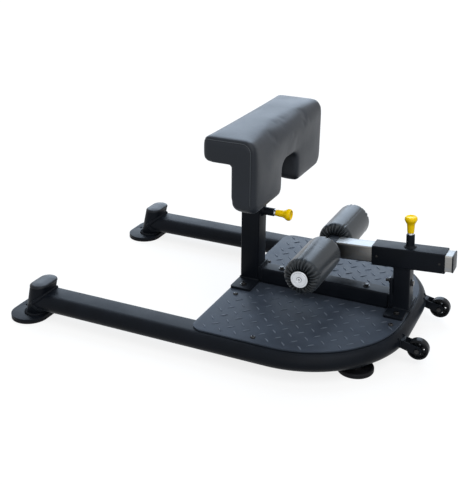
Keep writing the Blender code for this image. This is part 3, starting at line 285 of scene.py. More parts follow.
def joined(form):
    """Merge the points that lie on each other."""
    bmesh.ops.remove_doubles(form, verts=form.verts, dist=1e-6)
    return form


def faced_out(form):
    bmesh.ops.recalc_face_normals(form, faces=joined(form).faces)
    return form


def new_piece(form, name, finish="powder_coat", node=None, body="base_frame", sharp=35):
    """Finish a form, let it ride on its body and stand for its node."""
    piece = object_of(faced_out(form), name)
    piece.data.materials.append(FINISHES[finish])
    piece.data.shade_smooth()
    piece.data.set_sharp_from_angle(angle=math.radians(sharp))
    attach(piece, body)
    if node:
        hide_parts(node)


def spread(form, other):
    """Add another form to this one."""
    mesh = bpy.data.meshes.new("part")
    other.to_mesh(mesh)
    other.free()
    form.from_mesh(mesh)
    bpy.data.meshes.remove(mesh)


def placed(form, matrix):
    bmesh.ops.transform(form, matrix=matrix, verts=form.verts)
    return form


def node_form(node):
    """A CAD node's shape, its loose triangles joined."""
    form = bmesh.new()
    form.from_mesh(frame["nodes"][node].data)
    return joined(form)


def those(geom, kind):
    """The verts, edges or faces among what an operator made."""
    return [item for item in geom if isinstance(item, kind)]


def ring_edges(verts):
    """The edges that join the given verts to each other."""
    inside = set(verts)
    return list(dict.fromkeys(edge for vert in verts for edge in vert.link_edges
                              if edge.other_vert(vert) in inside))


def bevelled(form, geom, offset, steps, affect="EDGES"):
    """Round edges, or the corners of a flat outline to their full radius."""
    bmesh.ops.bevel(form, geom=geom, offset=offset, offset_type="OFFSET", segments=steps,
                    profile=0.5, affect=affect, clamp_overlap=affect == "EDGES", material=-1)


def round_ring(form, radius, z=0.0, steps=32, matrix=None):
    seat = (matrix or Matrix.Identity(4)) @ at(z=z)
    return bmesh.ops.create_circle(form, cap_ends=False, radius=radius, segments=steps,
                                   matrix=seat)["verts"]


def oval_ring(form, wide, deep, z=0.0, steps=48):
    """Flat oval in XY, wide along Y and deep along X."""
    verts = round_ring(form, deep / 2, z, steps)
    bmesh.ops.rotate(form, verts=verts, cent=(0, 0, z),
                     matrix=Matrix.Rotation(math.pi / steps, 3, "Z"))
    for vert in verts:
        vert.co.y += math.copysign((wide - deep) / 2, vert.co.y)
    return verts


def square_ring(form, wide, deep, corner, z=0.0, steps=5):
    """Rectangle in XY with rounded corners, wide along X and deep along Y."""
    standing = set(form.faces)
    places = [(x * wide / 2, y * deep / 2, z) for x, y in ((-1, -1), (1, -1), (1, 1), (-1, 1))]
    face = form.faces.new([form.verts.new(place) for place in places])
    bevelled(form, list(face.verts), corner, steps, "VERTICES")
    face = next(face for face in form.faces if face not in standing)
    verts = list(face.verts)
    bmesh.ops.delete(form, geom=[face], context="FACES_ONLY")
    return verts


def circle(radius, steps, x=0.0, y=0.0):
    """A function that draws a round outline in a form, at a height."""
    return lambda form, z: round_ring(form, radius, z, steps, at(x, y))


def oval(wide, deep, steps=48):
    """A function that draws a flat-oval outline in a form, at a height."""
    return lambda form, z: oval_ring(form, wide, deep, z, steps)


def outline(draw, z=0.0):
    """The corners of the outline that a function draws."""
    form = bmesh.new()
    points = [vert.co.copy() for vert in draw(form, z)]
    form.free()
    return points


def square_path(size, z):
    return outline(lambda form, z: square_ring(form, size, size, CORNER, z), z)


def bridged(form, rings, loop=False):
    """Join rings in turn."""
    for lower, upper in zip(rings, rings[1:] + rings[:1] if loop else rings[1:]):
        bmesh.ops.bridge_loops(form, edges=ring_edges(lower) + ring_edges(upper))


def closed(form, *rings):
    """Fill each ring, and return the last one's faces."""
    for verts in rings:
        faces = bmesh.ops.contextual_create(form, geom=ring_edges(verts))["faces"]
    return faces


def raised(form, faces, height):
    """Give flat faces a thickness along Z."""
    grown = bmesh.ops.extrude_face_region(form, geom=faces)["geom"]
    bmesh.ops.translate(form, verts=those(grown, bmesh.types.BMVert), vec=(0, 0, height))
    return those(grown, bmesh.types.BMFace)


def pulled(form, edges, way):
    """Draw a ring of edges out into a wall."""
    grown = bmesh.ops.extrude_edge_only(form, edges=edges)["geom"]
    bmesh.ops.translate(form, verts=those(grown, bmesh.types.BMVert), vec=way)
    return those(grown, bmesh.types.BMEdge)


def sunk(form, verts, depth):
    """Close a recess below a ring."""
    walls = pulled(form, ring_edges(verts), (0, 0, -depth))
    bmesh.ops.contextual_create(form, geom=walls)


def soften(form, width, steps=2, over=50):
    """Round every edge that turns by more than an angle."""
    faced_out(form)
    edges = [edge for edge in form.edges
             if len(edge.link_faces) == 2 and edge.calc_face_angle(0) > math.radians(over)]
    bevelled(form, edges, width, steps)
    return form


def ring_plate(low, high, *draws):
    """Plate between heights, from functions that draw its outline and its holes."""
    form = bmesh.new()
    edges = [edge for draw in draws for edge in ring_edges(draw(form, low))]
    bmesh.ops.triangle_fill(form, use_beauty=True, edges=edges)
    raised(form, list(form.faces), high - low)
    return form


def square_tube(size, low, high):
    """Hollow square tube along Z."""
    form = bmesh.new()
    inside = size - 2 * WALL
    bridged(form, [square_ring(form, size, size, CORNER, low),
                   square_ring(form, inside, inside, CORNER - WALL, low)])
    raised(form, list(form.faces), high - low)
    return form


def square_bar(wide, deep, low, high, corner=CORNER, steps=5):
    """Closed square bar along Z."""
    form = bmesh.new()
    face = closed(form, square_ring(form, wide, deep, corner, low, steps))
    raised(form, face, high - low)
    return form


def turned(profile, steps):
    """Spin a profile of (radius, z) about Z."""
    form = bmesh.new()
    points = [form.verts.new((radius, 0, z)) for radius, z in profile]
    edges = [form.edges.new(pair) for pair in zip(points, points[1:])]
    if profile[0][0] > 1e-6:
        edges.append(form.edges.new((points[-1], points[0])))
    bmesh.ops.spin(form, geom=points + edges, cent=(0, 0, 0), axis=(0, 0, 1), angle=TURN,
                   steps=steps, use_merge=True)
    return joined(form)


def pin(radius, top, foot, steps, chamfer=True):
    """Round pin along Z, its foot chamfered."""
    end = [(radius, foot + 0.001), (radius - 0.0006, foot)] if chamfer else [(radius, foot)]
    return turned([(0, top), (radius, top), *end, (0, foot)], steps)


def arc(centre, radius, start, end, steps):
    """Points (radius, z) on an arc, angles in degrees."""
    points = []
    for count in range(steps + 1):
        angle = math.radians(start + (end - start) * count / steps)
        points.append((centre[0] + radius * math.cos(angle),
                       centre[1] + radius * math.sin(angle)))
    return points


def even_path(points, spacing, loop=False):
    """The same path with points at an even spacing."""
    run = [Vector(point) for point in points]
    if loop:
        run.append(run[0])
    lengths = [0.0]
    for first, second in zip(run, run[1:]):
        lengths.append(lengths[-1] + (second - first).length)
    count = max(3, round(lengths[-1] / spacing))
    path = []
    leg = 0
    for index in range(count if loop else count + 1):
        reach = lengths[-1] * index / count
        while leg < len(run) - 2 and lengths[leg + 1] < reach:
            leg += 1
        share = (reach - lengths[leg]) / max(lengths[leg + 1] - lengths[leg], 1e-9)
        path.append(run[leg].lerp(run[leg + 1], min(share, 1)))
    return path


def swept(points, radius, spacing, loop=False, pitch=0.0, ripple=0.0, steps=8):
    """Round bead along a path, with ripples like a weld's."""
    path = even_path(points, spacing, loop)
    form = bmesh.new()
    rings = []
    for index, point in enumerate(path):
        behind = path[index - 1] if index or loop else point
        ahead = path[(index + 1) % len(path)] if index < len(path) - 1 or loop else point
        facing = (ahead - behind).normalized().to_track_quat("Z", "Y").to_matrix().to_4x4()
        wave = math.sin(TURN * index * spacing / pitch) if pitch else 0
        seat = Matrix.Translation(point) @ facing
        rings.append(round_ring(form, radius * (1 + ripple * wave), 0, steps, seat))
    bridged(form, rings, loop)
    if not loop:
        closed(form, rings[0], rings[-1])
    return form


def weld(points, name, loop=False, scale=1.0):
    """Powder-coated weld bead along a path."""
    sizes = looks().frame
    pitch = sizes.weld_pitch
    form = swept(points, sizes.weld_radius * scale, pitch / 4, loop, pitch, 0.10)
    new_piece(form, name, sharp=180)


# Finishes

def plug(tree, node, sockets):
    """Set each named socket to a value, or link it to an output."""
    for key, value in sockets.items():
        if isinstance(value, bpy.types.NodeSocket):
            tree.links.new(value, node.inputs[key])
        elif node.inputs[key].type == "RGBA":
            node.inputs[key].default_value = (*value[:3], 1)
        else:
            node.inputs[key].default_value = value


def add_node(tree, kind, sockets=None, **settings):
    """Add a shader node with its settings and sockets."""
    node = tree.nodes.new(kind)
    for setting, value in settings.items():
        setattr(node, setting, value)
    plug(tree, node, sockets or {})
    return node


def new_finish(name, scale=(1, 1, 1), turn=0.0):
    """A material, its shader, and a place on the piece itself, scaled and turned."""
    material = bpy.data.materials.new(name)
    material.use_nodes = True
    FINISHES[name] = material
    tree = material.node_tree
    return tree, tree.nodes["Principled BSDF"], place_on_piece(tree, scale, turn)


def place_on_piece(tree, scale, turn):
    coordinates = add_node(tree, "ShaderNodeTexCoord")
    return add_node(tree, "ShaderNodeMapping", {
        "Vector": coordinates.outputs["Object"], "Scale": scale,
        "Rotation": (0, turn, 0)}).outputs["Vector"]


def noise(tree, place, scale, detail=2.0, roughness=0.5, distortion=0.0):
    return add_node(tree, "ShaderNodeTexNoise", {
        "Vector": place, "Scale": scale, "Detail": detail, "Roughness": roughness,
        "Distortion": distortion}).outputs["Fac"]


def between(tree, factor, low, high, start=0.3, end=0.7):
    """A number that goes from low to high as the factor goes from start to end."""
    return add_node(tree, "ShaderNodeMapRange", {
        "Value": factor, "From Min": start, "From Max": end,
        "To Min": low, "To Max": high}).outputs["Result"]


def blended(tree, factor, first, second):
    """A colour between two others, at the Mix node's colour sockets."""
    return add_node(tree, "ShaderNodeMix", {0: factor, 6: first, 7: second},
                    data_type="RGBA").outputs[2]


def bumped(tree, height, distance, strength=0.5, onto=None):
    sockets = {"Height": height, "Distance": distance, "Strength": strength}
    if onto:
        sockets["Normal"] = onto
    return add_node(tree, "ShaderNodeBump", sockets).outputs["Normal"]


def shade(colour, factor):
    return tuple(channel * factor for channel in colour[:3])


def coat_finish(name, colour, roughness, worn_highlight=None, peel=1.0):
    """Powder coat: fine orange peel, a little dust, and, given a second colour, lug tops painted
    lighter, part wear and part painted highlight.
    """
    tree, shader, place = new_finish(name)
    cloud = noise(tree, place, 16, 4)
    tone = blended(tree, between(tree, cloud, 0, 1), shade(colour, 0.85), shade(colour, 1.2))
    scuffs = between(tree, noise(tree, place, 210, 6, 0.7), 0, 0.5, 0.66, 0.80)
    tone = blended(tree, scuffs, tone, shade(colour, 2.6))
    if worn_highlight:
        # Wear with a painted highlight: the top of each lug turns to the lighter colour.
        height = add_node(tree, "ShaderNodeSeparateXYZ", {"Vector": place}).outputs["Z"]
        high = between(tree, height, 0, 1, DECK_TOP + 0.0005, DECK_TOP + 0.0014)
        tone = blended(tree, high, tone, worn_highlight)
    plug(tree, shader, {
        "Base Color": tone,
        "Roughness": between(tree, cloud, roughness - 0.05, roughness + 0.06),
        "Normal": bumped(tree, noise(tree, place, 1500), 0.00006 * peel),
        "Specular IOR Level": 0.065,
        "Sheen Weight": 0.07, "Sheen Roughness": 0.30, "Sheen Tint": (0.70, 0.85, 1.0)})


def vinyl_finish(name, colour, level, smoothest):
    """Upholstery vinyl: pebbled grain over soft creases, with painted shade down in its folds."""
    tree, shader, place = new_finish(name)
    cloud = noise(tree, place, 9, 3)
    tone = blended(tree, between(tree, cloud, 0, 1), shade(colour, 0.90), shade(colour, 1.10))
    # Painted shade: the fold attribute darkens the colour to 0.12 of itself down in the creases.
    fold = add_node(tree, "ShaderNodeAttribute", attribute_name="fold").outputs["Fac"]
    tone = blended(tree, fold, tone, shade(colour, 0.12))
    cells = add_node(tree, "ShaderNodeTexVoronoi", {"Vector": place, "Scale": 620.0},
                     feature="SMOOTH_F1").outputs["Distance"]
    pits = between(tree, cells, 0, 0.30, 0.25, 0.75)
    creases = bumped(tree, noise(tree, place, 60, 5, 0.6), 0.0006, 0.35)
    plug(tree, shader, {
        "Base Color": blended(tree, pits, tone, shade(colour, 0.55)),
        "Roughness": between(tree, cloud, smoothest, smoothest + 0.10),
        "Normal": bumped(tree, cells, 0.00016, 0.5, creases),
        "Specular IOR Level": level,
        "Sheen Weight": 0.08, "Sheen Roughness": 0.4, "Sheen Tint": (0.82, 0.90, 1.0)})


def brushed_finish(name, colour, turn):
    """Bright steel with fine lines along the bar."""
    tree, shader, place = new_finish(name, (3, 420, 420), turn)
    lines = noise(tree, place, 3, 6, 0.7)
    stains = noise(tree, place_on_piece(tree, (10, 30, 30), turn), 3, 3)
    tone = blended(tree, between(tree, lines, 0, 1), shade(colour, 0.78), colour)
    tone = blended(tree, between(tree, stains, 0, 0.5, 0.5, 0.75), tone, (0.20, 0.23, 0.27))
    plug(tree, shader, {
        "Base Color": tone, "Roughness": between(tree, lines, 0.26, 0.46),
        "Normal": bumped(tree, lines, 0.00008), "Metallic": 1.0})


def even_finish(name, first, second, roughness, vary, clouds, grain, depth, strength, sockets):
    """Clouds of two tones over a fine even texture."""
    tree, shader, place = new_finish(name)
    cloud = noise(tree, place, clouds, 3)
    plug(tree, shader, {
        "Base Color": blended(tree, between(tree, cloud, 0, 1), first, second),
        "Roughness": between(tree, cloud, roughness * (1 - vary), roughness * (1 + vary)),
        "Normal": bumped(tree, noise(tree, place, grain, 3), depth, strength), **sockets})


def metal_finish(name, colour, roughness, tint, metallic=1.0):
    """Plated or blackened fastener metal."""
    even_finish(name, colour, tint, roughness, 0.1, 60, 900, 0.00002, 0.3,
                {"Metallic": metallic, "Specular IOR Level": 0.3})


def moulded_finish(name, colour, roughness, grain=900, depth=0.00005, mottle=0.1, level=0.3):
    """Moulded plastic or rubber with a fine texture."""
    even_finish(name, shade(colour, 1 - mottle), shade(colour, 1 + mottle), roughness, 0.12,
                45, grain, depth, 0.5, {"Specular IOR Level": level})


def plywood_finish(name):
    """Birch plywood: long grain on its faces."""
    tree, shader, place = new_finish(name, (60, 5, 60))
    rings = noise(tree, place, 3.0, 6.0, 0.65, 0.6)
    plug(tree, shader, {
        "Base Color": blended(tree, between(tree, rings, 0, 1),
                              (0.46, 0.31, 0.17), (0.62, 0.46, 0.28)),
        "Roughness": between(tree, rings, 0.62, 0.78),
        "Normal": bumped(tree, rings, 0.0003, 0.4)})


class BENCH_OT_finishes(bpy.types.Operator):
    """Make the finishes of the bench and put them on the CAD nodes that stay"""
    bl_idname = "bench.finishes"
    bl_label = "Finishes"

    def execute(self, context):
        sizes = context.scene.squat_bench
        coat_finish("powder_coat", sizes.frame.coat_colour, sizes.frame.coat_roughness)
        coat_finish("tread_plate", sizes.deck.plate_colour, 0.38, sizes.deck.worn_highlight_colour, 1.6)
        brushed_finish("brushed_steel", (0.27, 0.265, 0.255), LEAN)
        metal_finish("zinc", (0.56, 0.58, 0.61), 0.26, (0.50, 0.52, 0.55))
        metal_finish("black_bolt", (0.006, 0.006, 0.007), 0.24, (0.012, 0.012, 0.013), 0.0)
        vinyl_finish("grey_vinyl", sizes.padding.vinyl_colour, 0.20, 0.38)
        vinyl_finish("roller_vinyl", sizes.padding.roller_colour, 0.23, 0.27)
        moulded_finish("yellow_plastic", sizes.fittings.knob_colour, 0.25, 500, 0.00001, 0.03, 0.12)
        moulded_finish("black_plastic", (0.009, 0.011, 0.015), 0.36, level=0.15)
        moulded_finish("wheel_plastic", sizes.fittings.wheel_colour, 0.26, 700, 0.00004, 0.1, 0.09)
        moulded_finish("bush_plastic", (0.028, 0.028, 0.030), 0.50)
        moulded_finish("black_rubber", (0.008, 0.008, 0.010), 0.62, 700, 0.00012, 0.1, 0.1)
        moulded_finish("seam_thread", (0.060, 0.068, 0.078), 0.60, 1400, 0.0001)
        plywood_finish("plywood")
        for part in frame["record"]["subparts"]:
            data = frame["nodes"][part["node"]].data
            data.materials.clear()
            data.materials.append(FINISHES[part["material_slot"]])
        return {"FINISHED"}


# Frame

def bent(form, edges, centre, steps=30):
    """Sweep a ring of edges a quarter turn about an upright axis."""
    made = bmesh.ops.spin(form, geom=edges, cent=centre, axis=(0, 0, 1), angle=QUARTER, steps=steps)
    return those(made["geom_last"], bmesh.types.BMEdge)


def leg_x(z):
    """Where a leaning post's axis is at a height."""
    return LEG_FOOT_X + (z - LEG_FOOT_Z) * math.tan(LEG_LEAN)


def leaned(form, side):
    shear = Matrix.Identity(4)
    shear[0][2] = math.tan(LEG_LEAN)
    return placed(form, at(leg_x(0), side * LEG_Y, 0) @ shear)


def leg_surface_x(y, z):
    """Where the leaning post's front face is, at a place across it and a height."""
    half = LEG_DEEP / 2
    past = max(abs(y) - (TUBE_WIDE - LEG_DEEP) / 2, 0)
    return leg_x(z) + math.sqrt(max(half * half - past * past, 0))


class BENCH_OT_bent_frame(bpy.types.Operator):
    """Bend the flat-oval tube into the U of the bench"""
    bl_idname = "bench.bent_frame"
    bl_label = "Bent frame"

    def execute(self, context):
        form = bmesh.new()
        end = leg_x(TUBE_Z) + LEG_DEEP / 2 - 0.020
        ring = oval_ring(form, TUBE_WIDE, TUBE_HIGH)
        placed(form, at(end, -LEG_Y, TUBE_Z) @ about("Y", -QUARTER))
        start = ring_edges(ring)
        edges = pulled(form, start, (BEND_X - end, 0, 0))
        edges = bent(form, edges, (BEND_X, -BEND_Y, TUBE_Z))
        edges = pulled(form, edges, (0, 2 * BEND_Y, 0))
        edges = bent(form, edges, (BEND_X, BEND_Y, TUBE_Z))
        edges = pulled(form, edges, (end - BEND_X, 0, 0))
        for opening in (start, edges):
            bmesh.ops.contextual_create(form, geom=opening)
        new_piece(form, "bent_frame", node="frame_tube", sharp=60)
        return {"FINISHED"}


class BENCH_OT_leg_posts(bpy.types.Operator):
    """Make the leaning posts at the ends of the legs, with caps, welds and foot plates"""
    bl_idname = "bench.leg_posts"
    bl_label = "Leg posts"

    def execute(self, context):
        for name, side in SIDES:
            form = bmesh.new()
            face = closed(form, oval_ring(form, TUBE_WIDE, LEG_DEEP, LEG_FOOT_Z))
            raised(form, face, LEG_TOP - LEG_FOOT_Z)
            soften(form, 0.0008, over=60)
            new_piece(leaned(form, side), f"leg_post_tube_{name}", node=f"leg_post_{name}")
            self.cap(name, side)
            self.welds(name, side)
            self.foot(name, side)
        return {"FINISHED"}

    def cap(self, name, side):
        """Moulded cap with a soft shoulder and a low dome, ring by ring."""
        seat = LEG_TOP + GAP
        levels = [(-0.0035, -0.006), (-0.0035, 0), (0.0006, 0), (0.0008, 0.0010)]
        for count in range(1, 8):
            angle = QUARTER * count / 8
            levels.append((0.0008 - 0.0105 * (1 - math.cos(angle)),
                           0.0010 + 0.0075 * math.sin(angle)))
        for share in (0.35, 0.6, 0.8, 0.93):
            levels.append((-0.0097 - 0.0175 * share, 0.0085 + 0.0018 * share * (2 - share)))
        form = bmesh.new()
        rings = [oval_ring(form, TUBE_WIDE + 2 * grow, LEG_DEEP + 2 * grow, seat + z)
                 for grow, z in levels]
        bridged(form, rings)
        closed(form, rings[0], rings[-1])
        new_piece(leaned(form, side), f"post_cap_{name}", "black_plastic", f"leg_cap_{name}",
                  sharp=50)

    def welds(self, name, side):
        """Beads where the leg meets its post, and the post its foot plate."""
        points = []
        for point in outline(oval(TUBE_WIDE, TUBE_HIGH)):
            y, z = point.y, TUBE_Z + point.x
            points.append((leg_surface_x(y, z) + 0.0006, side * LEG_Y + y, z))
        weld(points, f"leg_weld_{name}", True, 1.7)

        def around_foot(form, z):
            ring = oval_ring(form, TUBE_WIDE + 0.002, LEG_DEEP + 0.002, z)
            leaned(form, side)
            return ring

        weld(outline(around_foot, LEG_FOOT_Z + 0.0008), f"foot_weld_{name}", True, 1.5)

    def foot(self, name, side):
        """Oval plate with a rounded edge and an anchor hole, on its rubber pad."""
        spot = at(FOOT_X, side * LEG_Y)
        rim = oval(FOOT_WIDE, FOOT_DEEP, 96)
        hole = circle(0.0045, 24, -0.035)
        plate = soften(ring_plate(0.007, 0.015, rim, hole), 0.0011, 3)
        new_piece(placed(plate, spot), f"foot_oval_{name}", node=f"foot_plate_{name}")
        pad = soften(ring_plate(0, 0.0067, rim, hole), 0.0009)
        new_piece(placed(pad, spot), f"foot_rubber_{name}", "black_rubber", f"foot_pad_{name}")


class BENCH_OT_front_feet(bpy.types.Operator):
    """Turn the rubber cup feet under the bends"""
    bl_idname = "bench.front_feet"
    bl_label = "Front feet"

    def execute(self, context):
        round_bend = math.radians(38)
        x = BEND_X + BEND_RADIUS * math.cos(round_bend)
        y = BEND_Y + BEND_RADIUS * math.sin(round_bend)
        profile = [(0, 0.0274), (0.0140, 0.0274), (0.0160, 0.0256), (0.0160, 0.0140),
                   *arc((0.0185, 0.0115), 0.0025, 180, 270, 4), (0.0400, 0.0090),
                   (0.0430, 0.0104), *arc((0.0478, 0.0098), 0.0042, 150, 0, 10),
                   (0.0520, 0.0060), (0.0520, 0.0024), (0.0512, 0.0007), (0.0500, 0), (0, 0)]
        for name, side in SIDES:
            new_piece(placed(turned(profile, 72), at(x, side * y)), f"cup_foot_{name}",
                      "black_rubber", f"front_foot_{name}")
        return {"FINISHED"}


# Deck

def socket_head(radius, height, dome, key):
    """Round screw head with a hexagon socket."""
    form = bmesh.new()
    levels = [(radius * 0.94, 0), (radius, height * 0.12)]
    for count in range(1, 6):
        angle = QUARTER * count / 6
        levels.append((radius - dome * (1 - math.cos(angle)),
                       height * (0.12 + 0.88 * math.sin(angle))))
    levels.append((key * 1.25, height))
    rings = [round_ring(form, wide, z, 36) for wide, z in levels]
    bridged(form, rings)
    closed(form, rings[0])
    socket = round_ring(form, key, height, 6)
    bmesh.ops.triangle_fill(form, use_beauty=True, edges=ring_edges(rings[-1]) + ring_edges(socket))
    sunk(form, socket, height * 0.55)
    return form


def hexagon_head(radius, height):
    """Hexagon head, its corners taken off by a chamfer."""
    form = bmesh.new()
    top = raised(form, closed(form, round_ring(form, radius, 0, 6)), height)
    bevelled(form, [edge for face in top for edge in face.edges], radius * 0.10, 2)
    return form


def washer(radius, thickness, bore):
    plate = ring_plate(0, thickness, circle(radius, 40), circle(bore, 24))
    return soften(plate, thickness * 0.22)


class BENCH_OT_deck(bpy.types.Operator):
    """Cut the tread plate of the deck and press its lugs"""
    bl_idname = "bench.deck"
    bl_label = "Deck"

    def execute(self, context):
        low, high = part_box("deck_plate")
        form = bmesh.new()
        verts = [form.verts.new((x, y, low.z)) for x, y in (
            (low.x, low.y), (high.x, low.y), (high.x, high.y), (low.x, high.y))]
        form.faces.new(verts)
        bevelled(form, verts[1:3], BEND_RADIUS + DECK_OVERHANG, 40, "VERTICES")
        bevelled(form, [verts[0], verts[3]], DECK_CORNER, 14, "VERTICES")
        raised(form, list(form.faces), high.z - low.z)
        soften(form, 0.0008, over=60)
        spread(form, self.lugs(context.scene.squat_bench.deck, low, high))
        new_piece(form, "tread_deck", "tread_plate", "deck_plate", sharp=40)
        return {"FINISHED"}

    def lugs(self, sizes, low, high):
        """Rows of raised lugs, turned one way and the other by turns."""
        lug = bmesh.new()
        bmesh.ops.create_uvsphere(lug, u_segments=12, v_segments=4, radius=1)
        bmesh.ops.scale(lug, verts=lug.verts,
                        vec=(sizes.lug_length / 2, sizes.lug_width / 2, sizes.lug_height))
        for vert in lug.verts:
            share = abs(vert.co.x) / (sizes.lug_length / 2)
            vert.co.y *= 1 - 0.35 * share
            vert.co.y += 0.0012 * (1 - share * share)
        mesh = bpy.data.meshes.new("lug")
        lug.to_mesh(mesh)
        lug.free()
        form = bmesh.new()
        first_x = POST_X - 0.2430
        first_y = 0.0265
        for column in range(-24, 24):
            for row in range(-16, 17):
                spot = Vector((first_x + column * (sizes.lug_pitch_long / 2),
                               row * (sizes.lug_pitch_across / 2) + first_y, DECK_TOP))
                if (column + row) % 2 or not self.clear(spot, low, high):
                    continue
                slant = math.radians(44 if column % 2 else -48)
                before = len(form.verts)
                form.from_mesh(mesh)
                form.verts.ensure_lookup_table()
                bmesh.ops.transform(form, matrix=Matrix.Translation(spot) @ about("Z", slant),
                                    verts=form.verts[before:])
        bpy.data.meshes.remove(mesh)
        return form

    def clear(self, spot, low, high):
        """True where a whole lug fits: on the plate, and off what stands on it."""
        margin = 0.013
        near = 0.012
        if not (low.x + margin < spot.x < high.x - margin and abs(spot.y) < high.y - margin):
            return False
        past_x = spot.x - BEND_X
        past_y = abs(spot.y) - BEND_Y
        rim = BEND_RADIUS + DECK_OVERHANG - margin
        if past_x > 0 and past_y > 0 and math.hypot(past_x, past_y) > rim:
            return False
        for x, (long, wide) in ((REAR_POST_X, REAR_BASE), (FRONT_BASE_X, FRONT_BASE)):
            if abs(spot.x - x) < long / 2 + near and abs(spot.y) < wide / 2 + near:
                return False
        if abs(spot.y) < INNER / 2 + 0.005 and spot.x < POST_X:
            return False
        return all(math.hypot(spot.x - x, spot.y - y) > 0.020 for _, x, y, _, _ in DECK_BOLTS)


class BENCH_OT_deck_bolts(bpy.types.Operator):
    """Make the screws and bolts of the deck, the base plates and the beam"""
    bl_idname = "bench.deck_bolts"
    bl_label = "Deck bolts"

    def execute(self, context):
        for node, x, y, seat, kind in DECK_BOLTS:
            form = bmesh.new()
            if kind == "button":
                spread(form, socket_head(0.0075, 0.0046, 0.0042, 0.0026))
            elif kind == "cap":
                spread(form, washer(0.0098, 0.0014, 0.0045))
                spread(form, placed(socket_head(0.0068, 0.0050, 0.0012, 0.0030), at(z=0.0014)))
            else:
                spread(form, washer(0.0100, 0.0016, 0.0045))
                spread(form, placed(hexagon_head(0.0078, 0.0056),
                                    at(z=0.0016) @ about("Z", math.radians(18))))
            spread(form, pin(0.0040, 0.0004, -0.0160, 20))
            new_piece(placed(form, at(x, y, seat + GAP)), f"{node}_head", "black_bolt", node,
                      sharp=30)
        return {"FINISHED"}


# Posts and beam

def base_plate(size, x):
    plate = soften(square_bar(*size, PLATE_LOW, PLATE_TOP, 0.006), 0.0010, 3)
    return placed(plate, at(x))


class BENCH_OT_rear_post(bpy.types.Operator):
    """Make the upright outer tube on its base plate"""
    bl_idname = "bench.rear_post"
    bl_label = "Rear post"

    def execute(self, context):
        edge = context.scene.squat_bench.frame.edge_round
        spot = at(REAR_POST_X)
        form = placed(soften(square_tube(OUTER, PLATE_TOP - 0.004, REAR_POST_TOP), edge), spot)
        spread(form, base_plate(REAR_BASE, REAR_POST_X))
        new_piece(form, "rear_post_tube", node="rear_post")
        ring = [spot @ point for point in square_path(OUTER, PLATE_TOP + 0.0004)]
        weld(ring, "rear_post_weld", True)
        return {"FINISHED"}


class BENCH_OT_low_beam(bpy.types.Operator):
    """Make the beam on the deck with its end plates and through bolt"""
    bl_idname = "bench.low_beam"
    bl_label = "Low beam"

    def execute(self, context):
        edge = context.scene.squat_bench.frame.edge_round
        rear = REAR_POST_X + OUTER / 2 + GAP
        front = POST_X - INNER / 2 - END_STACK
        middle = BEAM_LOW + INNER / 2
        form = square_bar(INNER, INNER, rear + 0.0052, front - 0.0068)
        placed(form, at(z=middle) @ ALONG_X)
        for x, long in ((rear + 0.0043, 0.006), (front + 0.0010, 0.020)):
            block = square_bar(long, INNER, PLATE_TOP + 0.0004, BEAM_TOP, 0.0004, 1)
            spread(form, placed(block, at(x)))
        above = PLATE_TOP + 0.001
        spread(form, placed(self.end_plate(above, REAR_PLATE_TOP, edge),
                            at(rear, 0, (REAR_PLATE_TOP + above) / 2) @ ALONG_X))
        above = PLATE_TOP - DECK_TOP + 0.001 + (INNER / 2 + END_STACK) * math.sin(LEAN)
        spread(form, placed(self.end_plate(above, FRONT_PLATE_TOP, edge), FRONT @ at(
            -INNER / 2 - END_STACK, 0, (above + FRONT_PLATE_TOP) / 2) @ ALONG_X))
        new_piece(form, "low_beam_tube", node="low_beam")
        for name, x in (("rear", rear + 0.0085), ("front", front - 0.0020)):
            weld([(x, y, middle + z) for y, z in (
                (-0.0255, -0.014), (-0.0255, 0.021), (-0.021, 0.0255), (0.021, 0.0255),
                (0.0255, 0.021), (0.0255, -0.014))], f"beam_weld_{name}", scale=0.8)
        self.through_bolt()
        return {"FINISHED"}

    def end_plate(self, low, high, edge):
        return soften(square_bar(high - low, 0.060, 0, END_PLATE, 0.006), edge)

    def through_bolt(self):
        """Bolt through the front post, with its head, washer and nut."""
        face = INNER / 2 + GAP
        back = face + END_STACK
        seat = FRONT @ at(z=0.0875) @ ALONG_X
        form = pin(0.005, face + 0.002, -back - 0.0180, 24)
        spread(form, placed(washer(0.0115, 0.0015, 0.0055), at(z=face)))
        spread(form, placed(hexagon_head(0.0095, 0.0052), at(z=face + 0.0015)))
        new_piece(placed(form, seat), "post_bolt", "black_bolt", "through_bolt", sharp=30)
        nut = placed(hexagon_head(0.0095, 0.0080), at(z=-back) @ about("X", math.pi))
        new_piece(placed(nut, seat), "post_nut", "black_bolt", "through_nut", sharp=30)


class BENCH_OT_front_post(bpy.types.Operator):
    """Make the leaning front post, its base plate and the sleeve across its top"""
    bl_idname = "bench.front_post"
    bl_label = "Front post and sleeve"

    def execute(self, context):
        edge = context.scene.squat_bench.frame.edge_round
        top = SLEEVE_HEIGHT - OUTER / 2 - GAP
        form = placed(square_bar(INNER, INNER, PLATE_TOP - DECK_TOP - 0.004, top), FRONT)
        spread(form, base_plate(FRONT_BASE, FRONT_BASE_X))
        new_piece(form, "front_post_tube", node="front_post")
        foot = [FRONT @ point for point in square_path(INNER, 0)]
        for point in foot:
            point.z = PLATE_TOP + 0.0004
        weld(foot, "front_post_weld", True)
        head = [FRONT @ point for point in square_path(INNER, top - 0.0008)]
        weld(head, "sleeve_weld", True, 0.75)
        half = SLEEVE_LONG / 2
        sleeve = soften(square_tube(OUTER, -half, half), edge)
        new_piece(placed(sleeve, SLEEVE_AXES @ ALONG_X), "sleeve_tube", node="bar_sleeve")
        for name, way in (("rear", -1), ("front", 1)):
            screw = socket_head(0.0034, 0.0009, 0.0004, 0.0015)
            seat = SLEEVE_AXES @ at(way * (half - 0.015), -OUTER / 2 - 0.0001) @ about("X", QUARTER)
            new_piece(placed(screw, seat), f"grub_screw_{name}", "black_bolt",
                      f"sleeve_set_screw_{name}", sharp=30)
        return {"FINISHED"}


# Calf pad

